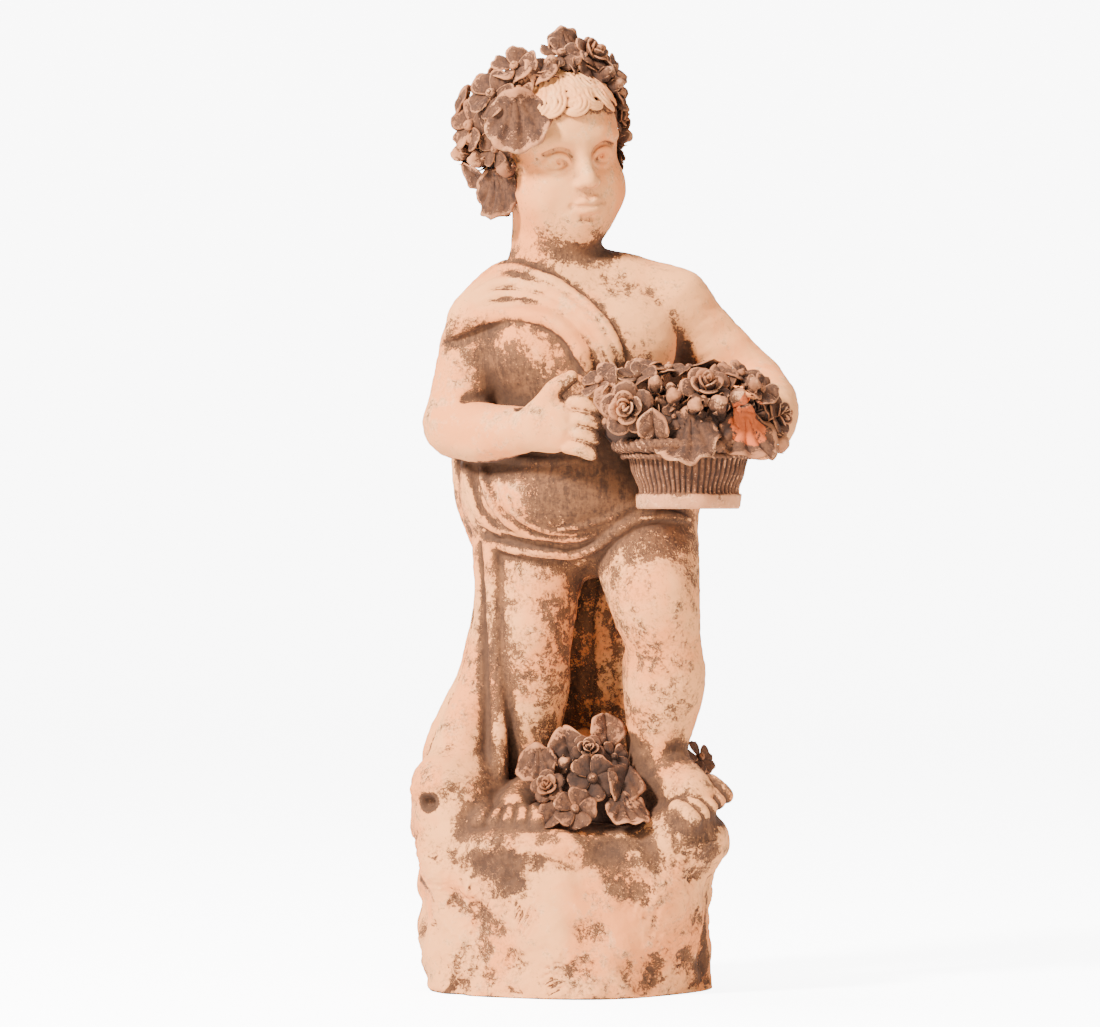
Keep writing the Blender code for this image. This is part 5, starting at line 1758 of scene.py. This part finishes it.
@dataclass
class Wreath:
    """The wreath about his head, in the head's units: a band of stems under flowers and leaves."""

    stems: Run = (
        (-6.8, -3, 5.4, 1.6), (-8.2, 2.4, 3.8, 1.9), (-5.8, 7.8, 3.6, 1.8), (0.4, 9.6, 4.4, 1.6),
        (6, 7.4, 4.6, 1.5), (7, 2, 4.2, 1.4), (6.6, -1.8, 6, 1.2), (1.8, -2.6, 9.4, 1.1),
        (-3.6, -3.2, 8.8, 1.2),
    )
    flowers: tuple = (
        (FAN, (-7.2, -5.7, 5.2), 3.9, (-0.55, -0.8, 0.25)),
        (BLOSSOM, (-8.4, -2, 8), 3.2, (-0.7, -0.5, 0.5)),
        (BLOSSOM, (-5.2, -2.2, 10.8), 2.9, (-0.4, -0.5, 0.8)),
        (LEAF, (-2.6, -3.8, 10.4), 2.4, (-0.2, -0.7, 0.7)),
        (BLOSSOM, (-10, 1.4, 4.4), 3.2, (-1, -0.3, 0.3)),
        (LEAF, (-9.4, 5.2, 7), 2.8, (-0.8, 0.3, 0.6)),
        (BUD, (-9.9, 4.2, 1), 1.7, (-1, 0.1, 0)),
        (BUD, (-9.6, 0.6, 0.4), 1.7, (-1, -0.3, 0)),
        (LEAF, (-9.2, 3.6, -1.6), 2.4, (-0.95, 0, -0.2)),
        (BLOSSOM, (-8.6, -2, 1.6), 2.4, (-0.9, -0.5, 0.1)),
        (FAN, (-8.4, -0.4, -3.4), 3.1, (-0.9, -0.5, 0.1)),
        (BUD, (-7.9, -3, -0.8), 1.6, (-0.8, -0.6, 0)),
        (LEAF, (-7.6, 3.4, -5), 2.4, (-0.9, 0.1, -0.3)),
        (BLOSSOM, (0.9, -2.2, 11.6), 2.7, (0, -0.7, 0.8)),
        (FAN, (2.4, -1.2, 12.7), 2.6, (0.1, -0.8, 0.6)),
        (ROSE, (5.2, -2.2, 11.2), 2.6, (0.4, -0.7, 0.6)),
        (LEAF, (4.2, -3.6, 9.8), 2.4, (0.3, -0.8, 0.6)),
        (BLOSSOM, (7.6, -1.8, 9), 2.5, (0.8, -0.6, 0.5)),
        (BUD, (5.7, -3.9, 8.6), 1.3, (0.5, -0.7, 0.6)),
        (BUD, (6.6, -4, 7.2), 1.3, (0.6, -0.8, 0.4)),
        (BLOSSOM, (7.9, -2.4, 6.2), 2.6, (0.85, -0.6, 0.2)),
        (ROSE, (7.5, -2.8, 3.4), 2, (0.8, -0.7, 0.1)),
        (LEAF, (8.6, -0.8, 3), 2.8, (0.95, -0.3, 0.1)),
        (BUD, (7.4, -3, 1), 1.4, (0.8, -0.7, 0)),
        (BLOSSOM, (7.8, -1.2, -0.2), 2.2, (0.95, -0.4, 0)),
        (LEAF, (7.6, -0.4, -2.2), 2.4, (0.95, -0.3, -0.1)),
        (BLOSSOM, (7, 5, 6.6), 3, (0.8, 0.4, 0.5)),
        (LEAF, (2.4, 7.8, 8.4), 3.2, (0.2, 0.7, 0.7)),
        (BLOSSOM, (-3.4, 7.8, 8.4), 3.2, (-0.3, 0.7, 0.7)),
        (ROSE, (6.4, 8.2, 2.4), 2.8, (0.7, 0.8, 0.1)),
        (LEAF, (0.6, 10.4, 3.4), 3.2, (0, 1, 0.2)),
        (BLOSSOM, (-5.4, 9, 2.4), 3, (-0.6, 0.8, 0.1)),
    )

    def piece(self, air: ClayGrid) -> Thing:
        """The wreath as one mesh."""
        bunch = Bunch("wreath")
        bunch.add_all(STANCE.head, self.flowers)
        self.twine(bunch, 54, 7)
        return bunch.piece(air)

    def twine(self, bunch: Bunch, count: int, seed: int) -> None:
        """Twines small leaves, buds and blossoms along the band of stems, turning about it as they go."""
        draw = np.random.default_rng(seed)
        loop = smooth_run((*self.stems, self.stems[0]), 12)
        for k in range(count):
            x, y, z, thick = loop[int(k / count * (len(loop) - 1))]
            out = Vector((x, y - 1.6, 0)).normalized()
            spin = GOLDEN_TURN * k
            way = out * max(0.25, math.cos(spin)) + Vector((0, 0, 1)) * math.sin(spin) * 0.9
            place = Vector((x, y, z)) + way * thick
            kind = (LEAF, BUD, BLOSSOM, LEAF)[k % 4]
            size = draw.uniform(1.4, 2.0) * (0.7 if kind is BUD else 1.0)
            bunch.add(STANCE.head, kind, tuple(place), size, tuple(way + Vector(draw.uniform(-0.3, 0.3, 3))))


@dataclass(frozen=True)
class WornClay:
    """Fired clay under a worn wash: which colours, and how much of the wash is left.

    Attributes:
        name: the finish's name.
        wash: the pale wash, its warmer patches, and its palest.
        clay: the bare clay, and its darker patches.
        hollow_shade_colour: the dark brown of the painted shade in shut-in places.
        level: the noise level above which the clay is bare.
        hollow_shade_bareness: how much more bare clay shut-in places show, as painted shade.
        hollow_shade_share: how strongly shut-in places are darkened with painted shade.
        crease_shade_share: how strongly creases are darkened toward the clay colour, as painted shade.
        raw: the colour of a fresh break, where there is one.
    """

    name: str
    wash: tuple[Triple, Triple, Triple] = ((0.66, 0.258, 0.082), (0.66, 0.2, 0.05), (0.67, 0.34, 0.15))
    clay: tuple[Triple, Triple] = ((0.14, 0.052, 0.0175), (0.05, 0.0185, 0.0065))
    hollow_shade_colour: Triple = (0.052, 0.021, 0.009)
    level: float = 0.545
    hollow_shade_bareness: float = 0.20
    hollow_shade_share: float = 0.7
    crease_shade_share: float = 0.42
    raw: Triple | None = None

    def material(self) -> bpy.types.Material:
        """Builds the finish as nodes that read Object coordinates and the piece's attributes.

        The clay is bare where coarse, middle and fine noise together, plus the placed bareness and the
        hollows, pass a level. The hollows' part of that, and the part of the bareness that comes from creases
        and from the depths of flowers, is painted shade; ridges are kept paler as painted highlight. The step
        is narrow, so that the wash ends in a crisp ragged edge. Creases and shut-in places are then darkened
        further, as painted shade.
        """
        made = bpy.data.materials.get(self.name)
        if made is not None:
            return made
        paint = Paint(self.name)
        coarse = paint.noise(24, 6, 0.62, 0.5)
        middle = paint.noise(105, 6, 0.70, 0.3)
        fine = paint.noise(430, 5, 0.68, 0.1)
        grain = paint.noise(1600, 3, 0.6, 0.0)
        brushed = paint.noise(110, 4, 0.6, 0.3, (3.2, 3.2, 0.6))
        bare = paint.value("bare")
        hollow = paint.value("hollow")
        mixed = paint.sum((coarse, 0.36), (middle, 0.34), (fine, 0.30))
        # The hollow term bares dark clay in shut-in places: painted shade.
        exposed = paint.sum((mixed, 1.0), (bare, 0.20), (hollow, self.hollow_shade_bareness))
        worn = paint.band(exposed, self.level - 0.004, self.level + 0.004)
        specked = paint.sum((fine, 0.62), (middle, 0.38), (bare, 0.10))
        specks = paint.band(specked, self.level + 0.040, self.level + 0.048)
        flecked = paint.sum((fine, 0.70), (grain, 0.30), (bare, -0.10), (hollow, -0.06))
        unflecked = paint.maths("SUBTRACT", 1.0, paint.band(flecked, 0.558, 0.570))
        mask = paint.maths("MULTIPLY", paint.maths("MAXIMUM", worn, specks), unflecked)
        tint = paint.band(paint.noise(13, 4, 0.55, 0.4), 0.42, 0.60)
        washed = paint.mix(tint, self.wash[0], self.wash[1])
        chalky = paint.band(paint.sum((middle, 0.6), (coarse, 0.4)), 0.50, 0.64, 0.7)
        washed = paint.mix(chalky, washed, self.wash[2])
        thin = paint.band(exposed, self.level - 0.07, self.level, 0.34)
        washed = paint.mix(thin, washed, self.clay[0])
        shade = paint.band(paint.sum((middle, 0.40), (brushed, 0.30), (fine, 0.30)), 0.42, 0.58)
        bared = paint.mix(shade, self.clay[1], self.clay[0])
        colour = paint.mix(mask, washed, bared)
        # Painted shade: creases are darkened toward the clay colour.
        painted_crease_shade = paint.band(paint.value("crease"), 0.10, 0.90, self.crease_shade_share)
        colour = paint.mix(painted_crease_shade, colour, self.clay[0])
        # Painted shade: shut-in places are mixed toward a dark brown.
        painted_hollow_shade = paint.band(paint.sum((hollow, 1.0), (middle, 0.5), (fine, 0.2)), 0.72, 1.35, self.hollow_shade_share)
        colour = paint.mix(painted_hollow_shade, colour, self.hollow_shade_colour)
        if self.raw is not None:
            raw = paint.band(paint.sum((paint.value("broken"), 1.0), (middle, 1.2), (fine, 0.3)), 1.50, 1.53)
            colour = paint.mix(raw, colour, self.raw)
        height = paint.sum((mask, -0.34), (fine, 0.26), (grain, 0.10), (middle, 0.30), (brushed, 0.16))
        paint.finish(colour, height)
        return paint.made


def fill(node: bpy.types.Node, **values: object) -> None:
    """Sets inputs of a node by name, with _ for a blank."""
    for name, value in values.items():
        node.inputs[name.replace("_", " ")].default_value = value


class Paint:
    """A short hand for building a finish out of nodes."""

    roughness = 0.88
    specular = 0.3
    bump_strength = 0.7
    bump_metres = 0.0012

    def __init__(self, name: str) -> None:
        """Starts a material with its shader and Object coordinates."""
        self.made = bpy.data.materials.new(name)
        self.made.use_nodes = True
        self.nodes = self.made.node_tree.nodes
        self.links = self.made.node_tree.links
        self.shader = self.nodes["Principled BSDF"]
        self.place = self.nodes.new("ShaderNodeTexCoord").outputs["Object"]

    def feed(self, socket: Socket, value: object) -> None:
        """Links a socket to another, or sets it to a number or a colour."""
        if isinstance(value, Socket):
            self.links.new(value, socket)
        elif isinstance(value, tuple):
            socket.default_value = (*value, 1.0)
        else:
            socket.default_value = value

    def noise(
        self, scale: float, detail: float, rough: float, distortion: float, stretch: Triple = (1.0, 1.0, 1.0)
    ) -> Socket:
        """Fractal noise, from 0 to 1, at so many cycles a metre, more along a stretched axis."""
        node = self.nodes.new("ShaderNodeTexNoise")
        spread = self.nodes.new("ShaderNodeVectorMath")
        spread.operation = "MULTIPLY"
        spread.inputs[1].default_value = stretch
        self.links.new(self.place, spread.inputs[0])
        self.links.new(spread.outputs[0], node.inputs["Vector"])
        fill(node, Scale=scale, Detail=detail, Roughness=rough, Distortion=distortion)
        return node.outputs["Fac"]

    def value(self, name: str) -> Socket:
        """One of the piece's own attributes."""
        node = self.nodes.new("ShaderNodeAttribute")
        node.attribute_name = name
        return node.outputs["Fac"]

    def maths(self, operation: str, a: object, b: object) -> Socket:
        """One sum on two values."""
        node = self.nodes.new("ShaderNodeMath")
        node.operation = operation
        self.feed(node.inputs[0], a)
        self.feed(node.inputs[1], b)
        return node.outputs[0]

    def sum(self, *terms: tuple[Socket, float]) -> Socket:
        """The sum of values, each times its weight."""
        total = None
        for socket, weight in terms:
            scaled = self.maths("MULTIPLY", socket, weight)
            total = scaled if total is None else self.maths("ADD", total, scaled)
        return total

    def band(self, socket: Socket, low: float, high: float, most: float = 1.0) -> Socket:
        """Rises smoothly from 0 at low to most at high."""
        node = self.nodes.new("ShaderNodeMapRange")
        node.interpolation_type = "SMOOTHSTEP"
        self.links.new(socket, node.inputs["Value"])
        fill(node, From_Min=low, From_Max=high, To_Max=most)
        return node.outputs["Result"]

    def mix(self, share: Socket, a: object, b: object) -> Socket:
        """Colour a where the share is 0 and colour b where it is 1."""
        node = self.nodes.new("ShaderNodeMix")
        node.data_type = "RGBA"
        self.feed(node.inputs[0], share)
        self.feed(node.inputs[6], a)
        self.feed(node.inputs[7], b)
        return node.outputs[2]

    def finish(self, colour: Socket, height: Socket) -> None:
        """Sets the shader: matt, with the colour and a bump of a fraction of a millimetre."""
        self.links.new(colour, self.shader.inputs["Base Color"])
        fill(self.shader, Roughness=self.roughness, Metallic=0.0, Specular_IOR_Level=self.specular)
        bump = self.nodes.new("ShaderNodeBump")
        fill(bump, Strength=self.bump_strength, Distance=self.bump_metres)
        self.links.new(height, bump.inputs["Height"])
        self.links.new(bump.outputs["Normal"], self.shader.inputs["Normal"])


BODY_CLAY = WornClay("washed_terracotta")
HEAD_CLAY = WornClay("washed_terracotta_head", level=0.555, hollow_shade_bareness=0.12, hollow_shade_share=0.4)
FLOWER_CLAY = WornClay(
    "brown_flower_clay",
    wash=((0.380, 0.140, 0.054), (0.230, 0.078, 0.028), (0.80, 0.380, 0.180)),
    clay=((0.098, 0.034, 0.0120), (0.034, 0.0120, 0.0048)),
    hollow_shade_colour=(0.014, 0.006, 0.003),
    level=0.555,
    hollow_shade_bareness=0.10,
    raw=(0.42, 0.080, 0.016),
)
BASKET_CLAY = WornClay(
    "brown_basket_clay",
    wash=((0.62, 0.260, 0.110), (0.46, 0.175, 0.070), (0.90, 0.43, 0.21)),
    clay=((0.150, 0.053, 0.019), (0.060, 0.021, 0.008)),
    hollow_shade_colour=(0.014, 0.006, 0.003),
    level=0.550,
    hollow_shade_bareness=0.10,
)


@dataclass(frozen=True)
class Studio:
    """The pale floor that curves up behind the statue, the soft lights, and the camera.

    The statue's axis and the ground are given as a column and a row of the photo. Each lamp has a name, a
    place, a size and its watts, and looks at the aim. The backdrop and the sky are brighter to the camera
    than to all other light.
    """

    image_width: int = 1100
    image_height: int = 1027
    metres_per_pixel: float = 0.00078
    axis_column: float = 570
    ground_row: float = 988
    distance: float = 4.3
    sensor: float = 36.0
    backdrop_depth: float = 5.0
    backdrop_bend: float = 1.2
    backdrop_rise: float = 4.5
    half_width: float = 7.0
    backdrop_glow: float = 7.5
    sky_seen: float = 8.0
    sky_light: float = 0.55
    aim: Triple = (0, 0, 0.4)
    lamps: tuple = (
        ("key", (-2.2, -2.1, 2.5), 0.7, 610),
        ("fill", (2.4, -2.8, 0.9), 2.2, 104),
        ("top", (-0.3, 0.2, 3), 1.2, 95),
    )

    def backdrop(self) -> Thing:
        """One sheet: level floor, a quarter round behind, then an upright wall."""
        bend = np.linspace(0, np.pi / 2, 17)
        curve = self.backdrop_depth + self.backdrop_bend * np.sin(bend)
        depth = np.concatenate([[-self.half_width], curve, [self.backdrop_depth + self.backdrop_bend]])
        rise = np.concatenate([[0.0], self.backdrop_bend * (1 - np.cos(bend)), [self.backdrop_rise]])
        left = np.stack([np.full(len(depth), -self.half_width), depth, rise], 1)
        right = left * (-1, 1, 1)
        count = len(depth)
        k = np.arange(count - 1)
        faces = np.stack([k, k + count, k + count + 1, k + 1], 1)
        sheet = mesh_from("pale_backdrop", np.vstack([left, right]), faces)
        white = bpy.data.materials.new("pale_backdrop")
        white.use_nodes = True
        shader = white.node_tree.nodes["Principled BSDF"]
        fill(shader, Base_Color=(0.93, 0.93, 0.93, 1), Roughness=0.9, Emission_Color=(1, 1, 1, 1))
        self.for_camera(white.node_tree, shader.inputs["Emission Strength"], self.backdrop_glow, 0.0)
        sheet.data.materials.append(white)
        return sheet

    @staticmethod
    def for_camera(tree: bpy.types.NodeTree, socket: Socket, seen: float, otherwise: float) -> None:
        """Feeds a socket one value for what the camera sees and another for all other light."""
        path = tree.nodes.new("ShaderNodeLightPath")
        choice = tree.nodes.new("ShaderNodeMapRange")
        fill(choice, To_Min=otherwise, To_Max=seen)
        tree.links.new(path.outputs["Is Camera Ray"], choice.inputs["Value"])
        tree.links.new(choice.outputs["Result"], socket)

    def light(self, name: str, place: Triple, size: float, power: float) -> None:
        """Adds one large soft lamp that looks at the statue."""
        lamp = bpy.data.lights.new(name, "AREA")
        lamp.shape = "DISK"
        lamp.size = size
        lamp.energy = power
        thing = bpy.data.objects.new(name, lamp)
        thing.location = place
        thing.rotation_euler = (Vector(self.aim) - Vector(place)).to_track_quat("-Z", "Y").to_euler()
        bpy.context.scene.collection.objects.link(thing)

    def set_up(self) -> None:
        """Builds the backdrop, the lights and the camera."""
        self.backdrop()
        world = bpy.data.worlds.new("studio")
        world.use_nodes = True
        sky = world.node_tree.nodes["Background"]
        fill(sky, Color=(1, 1, 1, 1))
        self.for_camera(world.node_tree, sky.inputs["Strength"], self.sky_seen, self.sky_light)
        bpy.context.scene.world = world
        for lamp in self.lamps:
            self.light(*lamp)
        view = bpy.data.cameras.new("camera")
        view.sensor_width = self.sensor
        view.lens = self.sensor * self.distance / (self.image_width * self.metres_per_pixel)
        camera = bpy.data.objects.new("camera", view)
        aside = (self.image_width / 2 - self.axis_column) * self.metres_per_pixel
        height = (self.ground_row - self.image_height / 2) * self.metres_per_pixel
        camera.location = (aside, -self.distance, height)
        camera.rotation_euler = (math.pi / 2, 0, 0)
        bpy.context.scene.collection.objects.link(camera)
        bpy.context.scene.camera = camera


def main() -> None:
    logging.basicConfig(level=logging.INFO, format="%(message)s")
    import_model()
    statue = Statue()
    air = statue.air()
    log.info("coarse field done")
    for make, finish in (
        (statue.mound_piece, BODY_CLAY),
        (statue.body_piece, BODY_CLAY),
        (statue.head_piece, HEAD_CLAY),
    ):
        piece = make()
        statue.weather(piece.data, air)
        settle(piece, finish)
    basket = BasketOfFlowers()
    settle(basket.basket_piece(air), BASKET_CLAY)
    settle(basket.heap_piece(air), FLOWER_CLAY)
    settle(GroundFlowers().piece(air), FLOWER_CLAY)
    settle(Wreath().piece(air), FLOWER_CLAY)
    Studio().set_up()


if __name__ == "__main__":
    main()
